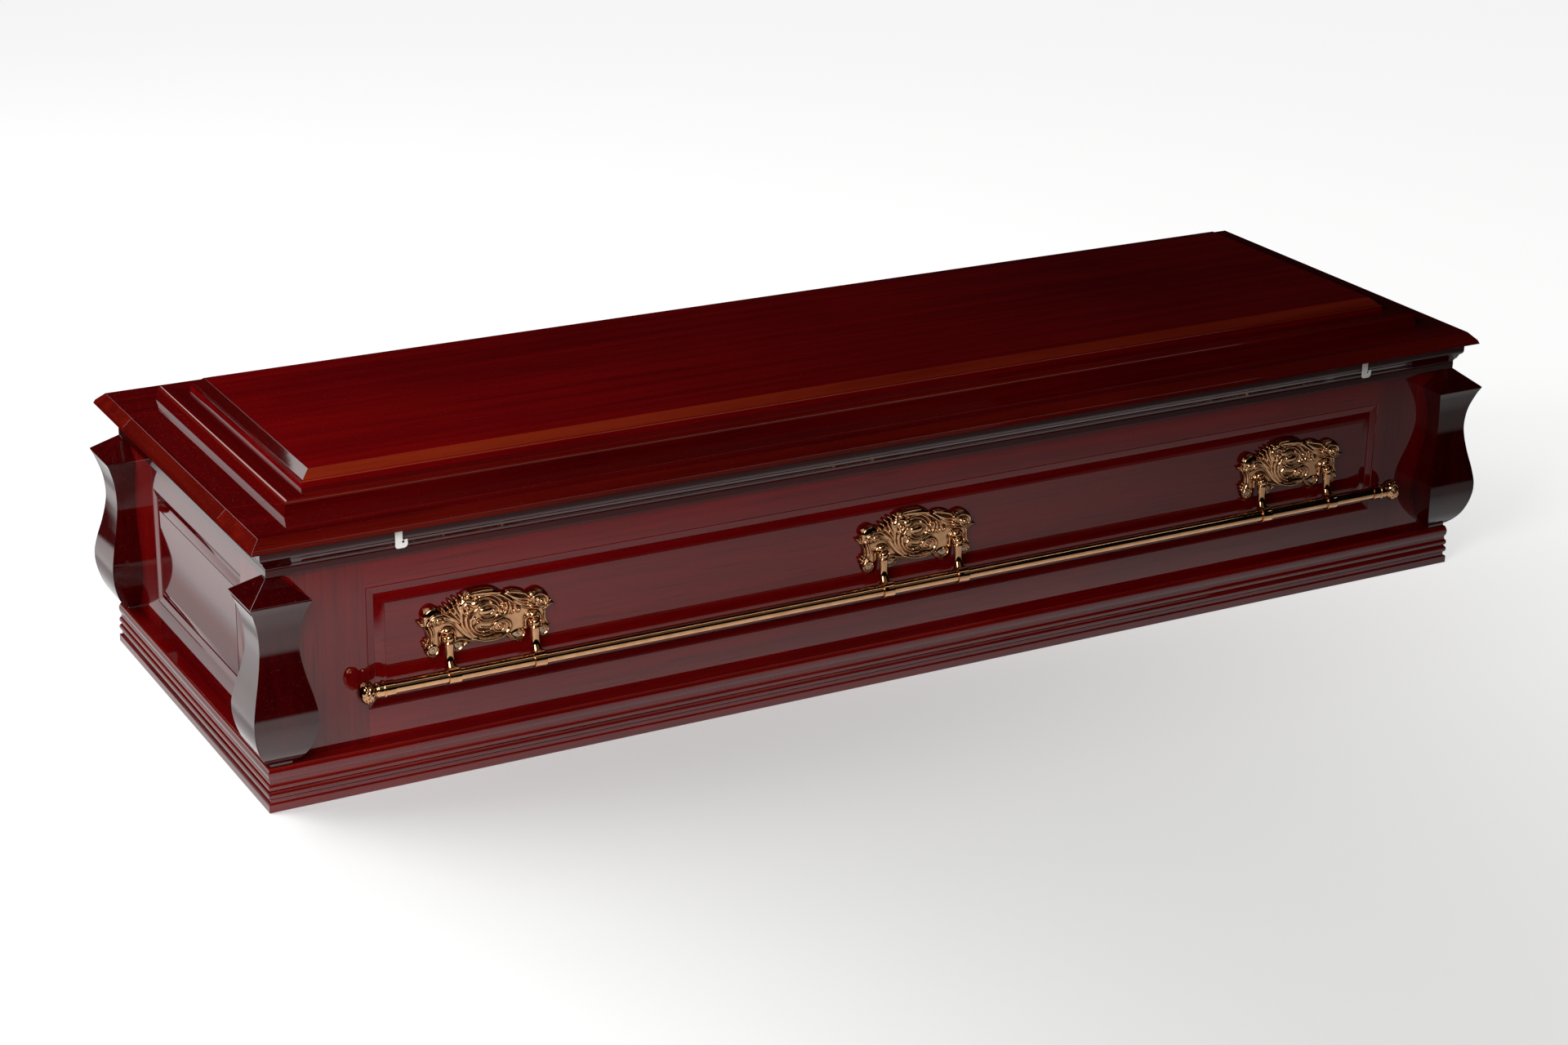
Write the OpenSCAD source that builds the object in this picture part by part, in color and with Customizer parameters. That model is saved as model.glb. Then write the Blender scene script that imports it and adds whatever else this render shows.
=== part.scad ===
// Panelled funeral casket: a framed box on a moulded plinth, with scrolled
// corner posts, a stepped loose lid, and swing-bar handles on both long sides.
// Origin: centre of the underside. X runs along the length, Z is up.
// Profiles are lists of [inset, height], where inset is measured inwards
// from the outer edge of the lid.

/* [Lid] */
// Length over the lid's rim
lid_length = 2100; // [1900:10:2600]
// Width over the lid's rim
lid_width = 690; // [600:10:860]
// Thickness of the rim boards
rim_t = 18; // [15:1:24]
// Width of the rim boards
rim_board_w = 140; // [125:1:160]
// Rise of the chamfer round the rim's edge
rim_chamfer = 13.7; // [8:0.1:14]
// Inset of the step moulding from the rim's edge
step_inset = 74; // [60:1:85]
// Thickness of the step moulding
step_t = 21.5; // [16:0.5:26]
// Inset of the raised top panel from the rim's edge
top_inset = 114; // [105:1:120]
// Thickness of the raised top panel
top_t = 21; // [16:0.5:26]
// Inset of the raised top panel's upper arris from the rim's edge
top_arris_inset = 131.7; // [128:0.1:140]

/* [Body] */
// How far the lid stands out past the body's faces
lid_overhang = 36; // [32:1:46]
// Height of the body, up to the seat of the lid
body_height = 387; // [360:1:470]
// Thickness of the rails and stiles
board_t = 22; // [20:1:28]
// Thickness of the floor board
floor_t = 18; // [12:1:25]

/* [Frames and panels] */
// Visible width of the stiles on the long sides
long_stile_w = 136; // [110:1:180]
// Visible width of the stiles on the ends, measured from the body's corner
end_stile_w = 119; // [100:1:160]
// Height of the lower edge of the framed opening
opening_bottom = 115.5; // [100:0.5:140]
// Depth of the top rail, down to the framed opening
top_rail_h = 89; // [70:1:120]
// Width of the moulded band on the frame's inner edge
band_w = 12; // [8:0.5:18]
// Width of the bevel round the raised field of a panel
bevel_w = 14.5; // [8:0.5:24]
// Thickness of the panel's tongue and of its groove
tongue_t = 6; // [5:0.5:7]
// Reach of the tongue into the groove
tongue_reach = 8; // [5:0.5:9]
// Clearance between the bottom of the groove and the tongue
groove_clearance = 2; // [1:0.5:3]

/* [Plinth and cornice] */
// Height of the plinth moulding
plinth_h = 65.5; // [60:0.5:75]
// Height of the cornice moulding under the lid
cornice_h = 45.5; // [44:0.5:52]
// Inset of the plinth's foot from the rim's edge
plinth_inset = 14; // [12:0.5:16]
// Inset of the cornice's fascia from the rim's edge
cornice_inset = 17; // [15:0.5:20]

/* [Corner posts] */
// Half width of the post at its cap
post_cap_half = 43.5; // [40:0.5:46]
// Half width of the post at its waist
post_waist_half = 28; // [25:0.5:32]
// Half width of the post at its belly
post_belly_half = 46.2; // [42:0.5:50]
// Half width of the post at its foot
post_foot_half = 16; // [14:0.5:18]
// Height of the sloping cap
post_cap_h = 28; // [20:1:36]

/* [Handles] */
// Distance between the middles of neighbouring handle plates
plate_pitch = 702; // [600:1:720]
// Height of the middle of the handle plates
plate_z = 226; // [215:1:240]
// Thickness of the plates between their carving
plate_t = 3.5; // [3:0.5:5]
// Height of the hinge axis
hinge_z = 206; // [202:1:212]
// Distance of the hinge axis from the panel
hinge_out = 14; // [13:0.5:16]
// Place of the first arm along its plate, from the plate's middle
arm_left = -60; // [-64:1:-56]
// Place of the second arm along its plate, from the plate's middle
arm_right = 71; // [66:1:75]
// Diameter of the hinge pin
pin_d = 5; // [4:0.5:6]
// Radial clearance of the hinge pin in the arm's eye
pin_clearance = 0.05; // [0.03:0.01:0.1]
// Width of the arm's eye
eye_w = 12; // [10:0.5:13]
// Clearance on each side of the eye between the lugs
eye_clearance = 0.5; // [0.4:0.1:0.8]
// Diameter of the bar
bar_d = 19; // [16:0.5:22]
// Height of the bar's axis at rest
bar_z = 155; // [150:1:160]
// Distance of the bar's axis from the panel at rest
bar_out = 26; // [25:0.5:32]
// Length of the bar over its end caps
bar_length = 1816; // [1720:4:1840]
// Wall of the collars that hold the bar
collar_wall = 3; // [2:0.5:4]
// Length of a collar along the bar
collar_w = 19; // [15:1:22]
// Offset of the bar's middle from the casket's middle
bar_shift = 4; // [0:1:6]
// Radial clearance of the bar in the arm collars and end caps
bar_clearance = 0.05; // [0.03:0.01:0.1]

/* [Lid catches] */
// Distance of each catch from the middle of the long side
catch_x = 831; // [700:1:860]
// Thickness of a catch
catch_t = 1.5; // [1:0.1:2]
// Length of a catch below the lid
catch_h = 31; // [26:1:36]

/* [Hidden] */
half_l = lid_length / 2;
half_w = lid_width / 2;
body_l = half_l - lid_overhang;
body_w = half_w - lid_overhang;
rim_top = body_height + rim_t;
step_top = rim_top + step_t;
opening_top = body_height - top_rail_h;
long_open = body_l - long_stile_w;
end_open = body_w - end_stile_w;
post_h = body_height - cornice_h - plinth_h;
wood = [0.30, 0.05, 0.05];
wood_dark = [0.24, 0.06, 0.06];
copper = [0.72, 0.45, 0.32];
white_paint = [0.88, 0.87, 0.85];
far = 2 * lid_length;
// Thickness of each hinge lug, and the width over a pair of them
lug_t = 4.5;
slot_w = eye_w + 2 * eye_clearance;
lug_w = slot_w + 2 * lug_t;
plate_places = [-plate_pitch, 0, plate_pitch];
plate_names = ["left", "middle", "right"];

// ---------- helpers ----------

// Points of a circular arc
function arc(c, r, a0, a1, n = 8) =
    [for (i = [0 : n]) let (a = a0 + (a1 - a0) * i / n) [c[0] + r * cos(a), c[1] + r * sin(a)]];

// A bead standing out from an inset, between two heights, as a circular arc
function bead(root, z0, z1, rise, n = 6) =
    let (c = (z1 - z0) / 2, r = (c * c + rise * rise) / (2 * rise), a = asin(c / r))
    [for (i = [0 : n]) let (t = a * (2 * i / n - 1))
        [root - r * cos(t) + r - rise, (z0 + z1) / 2 + r * sin(t)]];

// Catmull-Rom value at t between the stations b and c
function spline_at(a, b, c, d, t) =
    0.5 * (2 * b + (c - a) * t + (2 * a - 5 * b + 4 * c - d) * t * t + (3 * b - a - 3 * c + d) * t * t * t);

// A smooth line through a list of stations, n steps in each span
function smooth_line(p, n = 4) =
    let (last = len(p) - 1)
    concat([for (k = [0 : last - 1]) for (i = [0 : n - 1])
        spline_at(p[max(k - 1, 0)], p[k], p[k + 1], p[min(k + 2, last)], i / n)], [p[last]]);

// The same profile mirrored to the other side of the middle, as one outline
function both_edges(profile, half) = concat(
    [for (p = profile) [p[0] - half, p[1]]],
    [for (i = [len(profile) - 1 : -1 : 0]) [half - profile[i][0], profile[i][1]]]);

// Extrudes a [y, z] outline along X, centred
module along_x(length) {
    rotate([90, 0, 90]) linear_extrude(length, center = true) children();
}

// Extrudes an [x, z] outline along Y, centred
module along_y(length) {
    rotate([90, 0, 0]) linear_extrude(length, center = true) children();
}

// Quarter turns: 0 front, 1 right, 2 back, 3 left
module side(k) {
    rotate(90 * k) children();
}

function run_half(k) = k % 2 == 0 ? half_l : half_w;
function depth_half(k) = k % 2 == 0 ? half_w : half_l;

// One side of a moulding, mitred at both ends
module mitred_run(profile, k) {
    run = run_half(k);
    depth = depth_half(k);
    reach = max([for (p = profile) p[0]]);
    top = max([for (p = profile) p[1]]) + 1;
    side(k) intersection() {
        along_x(2 * run) polygon([for (p = profile) [p[0] - depth, p[1]]]);
        linear_extrude(top) polygon([
            [-run, -depth], [run, -depth],
            [run - reach, reach - depth], [reach - run, reach - depth]]);
    }
}

// ---------- plinth, cornice and floor ----------

// Base block, two beads and a rounded nose
plinth_profile = concat(
    [[lid_overhang, 0]],
    arc([plinth_inset + 1.5, 1.5], 1.5, -90, -180, 3),
    arc([plinth_inset + 2, 10.5], 2, 180, 90, 3),
    [[plinth_inset + 3.5, 13.5]],
    bead(plinth_inset + 3.5, 18.2, 30.6, 3.2),
    bead(plinth_inset + 3.5, 30.8, 42.4, 2.7),
    [[plinth_inset + 3.7, 45.5]],
    bead(plinth_inset + 3.8, 46.5, plinth_h, 2.5, 10),
    [[lid_overhang, plinth_h]]);

// Fascia, ovolo, quirk, cove and fillet, from the top down
cornice_fillet = cornice_inset + 11;
cornice_profile = [for (p = concat(
    [[lid_overhang, 0], [cornice_inset, 0]],
    arc([cornice_inset + 8, -14], 8, 180, 240, 6),
    [[cornice_inset + 4.9, -21.2]],
    arc([cornice_inset + 3.2, -35.5], 8.2, 52, 4, 6),
    [[cornice_fillet, -35.5], [cornice_fillet, -cornice_h], [lid_overhang, -cornice_h]]))
    [p[0], p[1] + body_height]];

module plinth(k) {
    color(wood) mitred_run(plinth_profile, k);
}

module cornice(k) {
    color(wood) mitred_run(cornice_profile, k);
}

module floor_board() {
    color(wood_dark)
        translate([board_t - body_l, board_t - body_w, 0])
        cube([2 * (body_l - board_t), 2 * (body_w - board_t), floor_t]);
}

// ---------- frames and panels ----------

// Section of a board's inner edge as [distance past the opening's edge, depth]:
// a quirk, a bevelled band, and the groove for the tongue
groove_floor = band_w - tongue_reach - groove_clearance;
quirk_w = 1.4;
band_sink = 2.2;
function board_edge() = concat(
    [[0, 0], [quirk_w / 2, 1.3]],
    [for (i = [0 : 5]) let (t = i / 5)
        [quirk_w + (band_w - 0.6 - quirk_w) * t, 0.4 + (band_sink - 0.4) * t]],
    [[band_w, band_sink + 0.6], [band_w, tongue_t], [groove_floor, tongue_t],
     [groove_floor, 2 * tongue_t], [band_w, 2 * tongue_t], [band_w, board_t]]);

// Front frame boards in the side's own frame, with the outer face at y = -depth
module rail(bottom, half_open, depth) {
    low = bottom ? 0 : opening_top;
    high = bottom ? opening_bottom : body_height;
    edge = bottom ? opening_bottom : opening_top;
    inward = bottom ? 1 : -1;
    outer = bottom ? low : high;
    color(wood) intersection() {
        along_x(2 * half_open) polygon(concat(
            [[-depth, outer]],
            [for (p = board_edge()) [p[1] - depth, edge + inward * p[0]]],
            [[board_t - depth, outer]]));
        along_y(far) polygon([
            [-half_open, outer], [-half_open, edge],
            [band_w - half_open, edge + inward * band_w],
            [half_open - band_w, edge + inward * band_w],
            [half_open, edge], [half_open, outer]]);
    }
}

module stile(hand, half_open, half_frame, depth) {
    color(wood) scale([hand, 1, 1]) intersection() {
        linear_extrude(body_height) polygon(concat(
            [[half_frame, -depth]],
            [for (p = board_edge()) [half_open - p[0], p[1] - depth]],
            [[half_frame, board_t - depth]]));
        along_y(far) polygon([
            [half_frame, 0], [half_open, 0], [half_open, opening_bottom],
            [half_open - band_w, opening_bottom + band_w],
            [half_open - band_w, opening_top - band_w],
            [half_open, opening_top], [half_open, body_height], [half_frame, body_height]]);
    }
}

// Raised panel: tongue, bevel and flat field
field_sink = 0.2;
panel_gap = 0.3;
bevel_sink = 3.8;
panel_edge = concat(
    [[band_w - tongue_reach, 2 * tongue_t], [band_w - tongue_reach, tongue_t],
     [band_w + panel_gap, tongue_t]],
    [for (i = [0 : 4]) let (t = i / 4)
        [band_w + panel_gap + bevel_w * t, bevel_sink - (bevel_sink - 0.8) * sin(90 * t * 0.8) / sin(72)]],
    [[band_w + bevel_w + 0.9, field_sink]]);

module panel(half_open, depth) {
    middle = (opening_bottom + opening_top) / 2;
    half_high = (opening_top - opening_bottom) / 2;
    color(wood) intersection() {
        translate([0, 0, middle]) along_x(2 * half_open)
            polygon([for (p = both_edges(panel_edge, half_high)) [p[1] - depth, p[0]]]);
        linear_extrude(body_height)
            polygon([for (p = both_edges(panel_edge, half_open)) [p[0], p[1] - depth]]);
    }
}

// The long sides run the full length, and the ends stand between them
module long_rail(k, bottom) { side(k) rail(bottom, long_open, body_w); }
module long_stile(k, hand) { side(k) stile(hand, long_open, body_l, body_w); }
module long_panel(k) { side(k) panel(long_open, body_w); }
module end_rail(k, bottom) { side(k) rail(bottom, end_open, body_l); }
module end_stile(k, hand) { side(k) stile(hand, end_open, body_w - board_t, body_l); }
module end_panel(k) { side(k) panel(end_open, body_l); }

// ---------- corner posts ----------

// Half width of the post against height above its foot, up to the cap's edge
post_body_h = post_h - post_cap_h;
post_rise = post_body_h / 248;
post_stations = [for (s = [
    [6, 18.5], [16, 28.2], [31, 37], [54, 44], [79, post_belly_half], [106, 41.8],
    [134, 34.8], [160, 29.8], [182, post_waist_half], [209, 30.6], [235, 38.3], [247, post_cap_half]])
    [s[1], s[0] * post_rise]];
post_profile = concat(
    [[0, 0], [post_foot_half, 0], [post_foot_half, 6 * post_rise]],
    smooth_line(post_stations),
    [[post_cap_half, post_body_h + 1.5], [lid_overhang - cornice_fillet, post_h], [0, post_h]]);

// A square column with the profile on all four faces, notched to wrap the corner
module post(x_sign, y_sign) {
    outline = concat(post_profile,
        [for (i = [len(post_profile) - 2 : -1 : 1]) [-post_profile[i][0], post_profile[i][1]]]);
    color(wood) difference() {
        translate([x_sign * body_l, y_sign * body_w, plinth_h]) intersection() {
            along_x(4 * post_belly_half) polygon(outline);
            along_y(4 * post_belly_half) polygon(outline);
        }
        translate([-body_l, -body_w, 0]) cube([2 * body_l, 2 * body_w, body_height]);
    }
}

// ---------- lid ----------

// Edge of the rim: a small rounded nose and a wide chamfer
rim_edge = concat(
    [[0, 0], [1.2, rim_t - rim_chamfer - 1.2]],
    arc([6, rim_t - rim_chamfer - 1], 4.2, 168, 134, 3),
    [[rim_chamfer + 1.6, rim_t]]);

module rim_slab() {
    edge = [for (p = rim_edge) [p[0], p[1] + body_height]];
    intersection() {
        along_x(far) polygon(both_edges(edge, half_w));
        along_y(far) polygon(both_edges(edge, half_l));
    }
}

// The long boards run the full length, and the end boards butt between them
module lid_rim(k) {
    inner_w = half_w - rim_board_w;
    inner_l = half_l - rim_board_w;
    color(wood) intersection() {
        rim_slab();
        side(k) if (k % 2 == 0)
            translate([-half_l, -half_w, body_height - 1]) cube([lid_length, rim_board_w, rim_t + 2]);
        else
            translate([-inner_w, -half_l, body_height - 1]) cube([2 * inner_w, rim_board_w, rim_t + 2]);
    }
}

// Step moulding: a hollow foot, a round nose and a flat shelf
step_nose_r = 7;
step_foot = 2.7;
step_profile = [for (p = concat(
    [[rim_board_w + 10, 0], [step_inset, 0], [step_inset, 1]],
    [for (i = [1 : 4]) let (t = i / 4) [step_inset + step_foot * sin(90 * t), 1 + (step_t - step_nose_r - 1) * t]],
    arc([step_inset + step_foot + step_nose_r, step_t - step_nose_r], step_nose_r, 172, 90, 6),
    [[rim_board_w + 10, step_t]]))
    [p[0], p[1] + rim_top]];

module lid_step(k) {
    color(wood) mitred_run(step_profile, k);
}

// Raised top panel: a bead, then a wide chamfer up to the arris
top_edge = [for (p = concat(
    [[top_inset, 0], [top_inset + 0.6, 5]],
    arc([top_inset + 3.4, 7.2], 2.6, 200, 100, 5),
    [[top_inset + 4.7, 10.4], [top_arris_inset - 0.8, top_t - 0.3], [top_arris_inset + 0.6, top_t]]))
    [p[0], p[1] + step_top]];

module lid_top_panel() {
    color(wood) intersection() {
        along_x(far) polygon(both_edges(top_edge, half_w));
        along_y(far) polygon(both_edges(top_edge, half_l));
    }
}

// ---------- lid catches ----------

catch_w = 18;
strap_w = 10.5;
hook_h = 12;
hook_eye_r = 2;

// A flat hook that hangs from the lid over the cornice
module catch_at(x) {
    color(white_paint)
        translate([x, cornice_inset - half_w - 0.3, body_height])
        along_y_back(catch_t)
        difference() {
            union() {
                translate([-catch_w / 2, 4 - catch_h]) square([strap_w, catch_h - 4]);
                translate([-catch_w / 2 + 4, -catch_h]) square([catch_w - 10, 8]);
                translate([-catch_w / 2 + 4, 4 - catch_h]) circle(4, $fn = 32);
                translate([catch_w / 2 - 6, 6 - catch_h]) circle(6, $fn = 32);
                translate([catch_w / 2 - 8, 6 - catch_h]) square([8, hook_h - 6]);
            }
            translate([2.6, 9 - catch_h]) circle(hook_eye_r, $fn = 24);
            translate([2.6, 9 - catch_h]) rotate(-25) translate([-0.8, 0]) square([1.6, 8]);
        }
}

// Extrudes an [x, z] outline towards -Y from y = 0
module along_y_back(t) {
    rotate([90, 0, 0]) linear_extrude(t) children();
}

// ---------- handles ----------

// Outline of a plate between its bosses and lobes, from the plate's middle
boss_x = [-85.5, 80.5];
boss_r = 17.5;
lobe_x = [-83, -43, 48, 87.5];
lobe_z = -37.3;
dome_root = 0.5;
eye_r = 6;
neck_r = 5.5;
knee_out = 0.6;
plate_outline = [
    [-102, 8], [-93, -8], [-94, -34], [-80, -32], [-71, -29], [-60, -27], [-50, -30], [-43, -34],
    [-22, -37], [4, -40.5], [24, -37], [44, -35], [60, -29], [71, -27], [80, -30], [93, -34],
    [92, -12], [99, 5], [80, 28], [60, 30], [40, 36], [22, 44], [2, 46], [-20, 42], [-44, 33], [-62, 28]];

// An arc of round moulding lying on the plate, in the plate's [x, z] plane
module scroll(x, z, r, tube, a0, a1) {
    translate([x, -plate_t, z]) rotate([90, 0, 0]) rotate(a0)
        rotate_extrude(angle = a1 - a0, $fn = 64) translate([r, 0]) circle(tube, $fn = 24);
}

// A domed boss standing out from the plate's face
module dome(x, z, r, rise) {
    ball = (r * r + rise * rise) / (2 * rise);
    translate([x, dome_root - plate_t, z]) rotate([90, 0, 0]) rotate_extrude($fn = 48) intersection() {
        translate([0, rise - ball]) circle(ball, $fn = 48);
        square(2 * r);
    }
}

// Two lugs and a hinge pin for one arm
module lugs(x) {
    z = hinge_z - plate_z;
    translate([x, 0, 0]) {
        difference() {
            union() {
                along_x(lug_w) polygon([[-1, z + 15], [-hinge_out, z + 6], [-hinge_out, z - 6], [-1, z - 13]]);
                translate([0, -hinge_out, z]) rotate([0, 90, 0])
                    cylinder(r = eye_r, h = lug_w, center = true, $fn = 48);
            }
            translate([-slot_w / 2, -3 * hinge_out, z - 30]) cube([slot_w, 3 * hinge_out - plate_t, 60]);
        }
        translate([0, -hinge_out, z]) rotate([0, 90, 0])
            cylinder(d = pin_d, h = lug_w - 1, center = true, $fn = 48);
    }
}

// Cast plate with bosses, scrolls, lobes and lugs
module handle_plate(k, x) {
    color(copper) side(k) translate([x, field_sink - body_w, plate_z]) {
        along_y_back(plate_t) {
            polygon(plate_outline);
            for (lx = lobe_x) translate([lx, lobe_z]) circle(9, $fn = 40);
            translate([-104, 6]) circle(5, $fn = 32);
            translate([102, 3]) circle(5, $fn = 32);
        }
        for (bx = boss_x) dome(bx, 16, boss_r, 13);
        for (lx = lobe_x) dome(lx, lobe_z, 8, 5);
        dome(-104, 6, 4.7, 4.5);
        dome(102, 3, 4.7, 4.5);
        dome(-1, 14, 14, 8);
        scroll(-1, 7, 32, 3.3, 95, 285);
        scroll(-1, 12, 21, 3, -40, 190);
        scroll(17, -17, 14, 3, -100, 150);
        scroll(-40, -14, 38, 2.8, 20, 110);
        scroll(38, 60, 36, 2.8, 215, 300);
        for (ax = [arm_left, arm_right]) lugs(ax);
    }
}

// A bore along X
module cross_bore(r) {
    rotate([0, 90, 0]) cylinder(r = r, h = 3 * collar_w, center = true, $fn = 64);
}

// An arm: eye at the hinge, a neck that hangs straight, and a bell that leans
// out from the knee to the collar round the bar
module arm(x) {
    drop = hinge_z - bar_z;
    out = bar_out - hinge_out;
    knee = drop - 19;
    lean = out - knee_out;
    bell = sqrt(19 * 19 + lean * lean);
    foot_r = collar_w / 2;
    translate([x, 0, 0]) difference() {
        union() {
            rotate([0, 90, 0]) cylinder(r = eye_r, h = eye_w, center = true, $fn = 48);
            rotate_extrude($fn = 48) polygon([
                [0, -3], [eye_r - 0.4, -4], [eye_r - 0.1, -9], [neck_r + 0.1, -17],
                [neck_r, -24], [neck_r, -knee], [0, -knee]]);
            translate([0, -knee_out / 2, -knee]) sphere(r = neck_r + 0.2, $fn = 48);
            translate([0, -out, -drop]) rotate([-atan2(lean, 19), 0, 0]) rotate_extrude($fn = 48) polygon([
                [0, 0], [foot_r - 0.5, 0], [foot_r, 4], [foot_r - 0.6, 8], [foot_r - 2.4, 13],
                [neck_r + 0.6, 18], [neck_r, bell], [0, bell]]);
            translate([0, -out, -drop]) rotate([0, 90, 0])
                cylinder(r = bar_d / 2 + collar_wall, h = collar_w, center = true, $fn = 64);
        }
        cross_bore(pin_d / 2 + pin_clearance);
        translate([0, -out, -drop]) cross_bore(bar_d / 2 + bar_clearance);
    }
}

module arms(k) {
    color(copper) side(k) translate([0, field_sink - body_w - hinge_out, hinge_z])
        for (px = plate_places, ax = [arm_left, arm_right]) arm(px + ax);
}

// Outline of an end cap as [distance from its tip, radius]
cap_length = 53;
sleeve_r = bar_d / 2 + 1.5;
ring_r = sleeve_r + 1.4;
cap_profile = concat(
    [[0, 0]],
    [for (i = [1 : 10]) let (a = 9 * i) [11 * (1 - cos(a)), 15 * sin(a)]],
    [[14, 15.8], [19, 14.8], [23, 11.8], [24.6, 9.9], [25.6, 9.6], [28, sleeve_r],
     [36, sleeve_r], [36.5, ring_r], [39.5, ring_r], [40, sleeve_r], [cap_length, sleeve_r], [cap_length, 0]]);
bar_end = 38;

module at_bar(k) {
    side(k) translate([bar_shift, field_sink - body_w - bar_out, bar_z]) children();
}

module bar(k) {
    color(copper) at_bar(k) rotate([0, 90, 0])
        cylinder(d = bar_d, h = bar_length - 2 * bar_end, center = true, $fn = 96);
}

module end_cap(k, hand) {
    color(copper) at_bar(k) translate([hand * bar_length / 2, 0, 0]) rotate([0, -90 * hand, 0]) difference() {
        rotate_extrude($fn = 64) polygon([for (p = cap_profile) [p[1], p[0]]]);
        translate([0, 0, bar_end]) cylinder(r = bar_d / 2 + bar_clearance, h = cap_length, $fn = 64);
    }
}

// ---------- nodes ----------

floor_board();

plinth(0);  // plinth_front
plinth(1);  // plinth_right
plinth(2);  // plinth_back
plinth(3);  // plinth_left

long_rail(0, true);  // front_bottom_rail
long_rail(0, false);  // front_top_rail
long_stile(0, -1);  // front_left_stile
long_stile(0, 1);  // front_right_stile
long_panel(0);  // front_panel

end_rail(1, true);  // right_bottom_rail
end_rail(1, false);  // right_top_rail
end_stile(1, -1);  // right_front_stile
end_stile(1, 1);  // right_back_stile
end_panel(1);  // right_panel

long_rail(2, true);  // back_bottom_rail
long_rail(2, false);  // back_top_rail
long_stile(2, 1);  // back_left_stile
long_stile(2, -1);  // back_right_stile
long_panel(2);  // back_panel

end_rail(3, true);  // left_bottom_rail
end_rail(3, false);  // left_top_rail
end_stile(3, 1);  // left_front_stile
end_stile(3, -1);  // left_back_stile
end_panel(3);  // left_panel

cornice(0);  // cornice_front
cornice(1);  // cornice_right
cornice(2);  // cornice_back
cornice(3);  // cornice_left

post(-1, -1);  // post_front_left
post(1, -1);  // post_front_right
post(1, 1);  // post_back_right
post(-1, 1);  // post_back_left

lid_rim(0);  // lid_rim_front
lid_rim(1);  // lid_rim_right
lid_rim(2);  // lid_rim_back
lid_rim(3);  // lid_rim_left

lid_step(0);  // lid_step_front
lid_step(1);  // lid_step_right
lid_step(2);  // lid_step_back
lid_step(3);  // lid_step_left

lid_top_panel();

catch_at(-catch_x);  // catch_front_left
catch_at(catch_x);  // catch_front_right
side(2) catch_at(catch_x);  // catch_back_left
side(2) catch_at(-catch_x);  // catch_back_right

handle_plate(0, -plate_pitch);  // front_plate_left
handle_plate(0, 0);  // front_plate_middle
handle_plate(0, plate_pitch);  // front_plate_right
arms(0);  // front_arms
bar(0);  // front_bar
end_cap(0, -1);  // front_cap_left
end_cap(0, 1);  // front_cap_right

handle_plate(2, plate_pitch);  // back_plate_left
handle_plate(2, 0);  // back_plate_middle
handle_plate(2, -plate_pitch);  // back_plate_right
arms(2);  // back_arms
bar(2);  // back_bar
end_cap(2, 1);  // back_cap_left
end_cap(2, -1);  // back_cap_right
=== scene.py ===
"""Looks of a panelled mahogany funeral casket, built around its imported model.

Everything is in metres in the model's own frame; the numbers in the tables
below are millimetres and go through MM. X runs along the length, Z is up, and
the front faces -Y.
"""
import math
from contextlib import contextmanager

import bmesh
import bpy
import numpy as np
from mathutils import Matrix


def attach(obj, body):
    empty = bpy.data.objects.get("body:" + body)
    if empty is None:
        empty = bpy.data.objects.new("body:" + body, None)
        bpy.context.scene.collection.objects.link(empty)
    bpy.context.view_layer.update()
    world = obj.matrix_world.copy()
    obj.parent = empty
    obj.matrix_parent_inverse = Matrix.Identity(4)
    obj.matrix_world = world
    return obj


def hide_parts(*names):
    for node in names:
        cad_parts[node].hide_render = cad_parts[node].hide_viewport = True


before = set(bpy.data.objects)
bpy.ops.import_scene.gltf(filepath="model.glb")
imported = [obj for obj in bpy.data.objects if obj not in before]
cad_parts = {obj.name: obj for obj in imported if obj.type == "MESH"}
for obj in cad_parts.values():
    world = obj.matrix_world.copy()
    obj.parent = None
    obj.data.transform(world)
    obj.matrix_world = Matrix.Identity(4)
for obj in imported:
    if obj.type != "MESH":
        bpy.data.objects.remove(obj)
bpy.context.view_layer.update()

MM = 0.001

# ---------------------------------------------------------------- sizes (mm)
LID_HALF = (1050.0, 345.0)
OVERHANG = 36.0
BODY_HALF = (1014.0, 309.0)
BODY_TOP = 387.0
RIM_T = 18.0
STEP_T = 21.5
TOP_T = 21.0
RIM_TOP = BODY_TOP + RIM_T
STEP_TOP = RIM_TOP + STEP_T
LONG_OPEN = 878.0
END_OPEN = 190.0
OPEN_LOW, OPEN_HIGH = 115.5, 298.0
PLINTH_H = 65.5
CORNICE_H = 45.5
PLATE_X = (-702.0, 0.0, 702.0)
FIELD_Y = -308.8
# Centres of the hinge pin and the bar as [y, z] on the front
HINGE = (-322.8, 206.0)
BAR = (-334.8, 155.0)
BAR_R = 9.5
BAR_ENDS = (-904.0, 912.0)
CAP_BORE_R = 9.56
ARM_X = (-60.0, 71.0)
CATCH_DROP = 6.0
# Rounding of the arrises of the boards and catches
BOARD_EASE, RIM_EASE, FLOOR_EASE, CATCH_EASE = 0.15, 0.4, 1.0, 0.25


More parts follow.
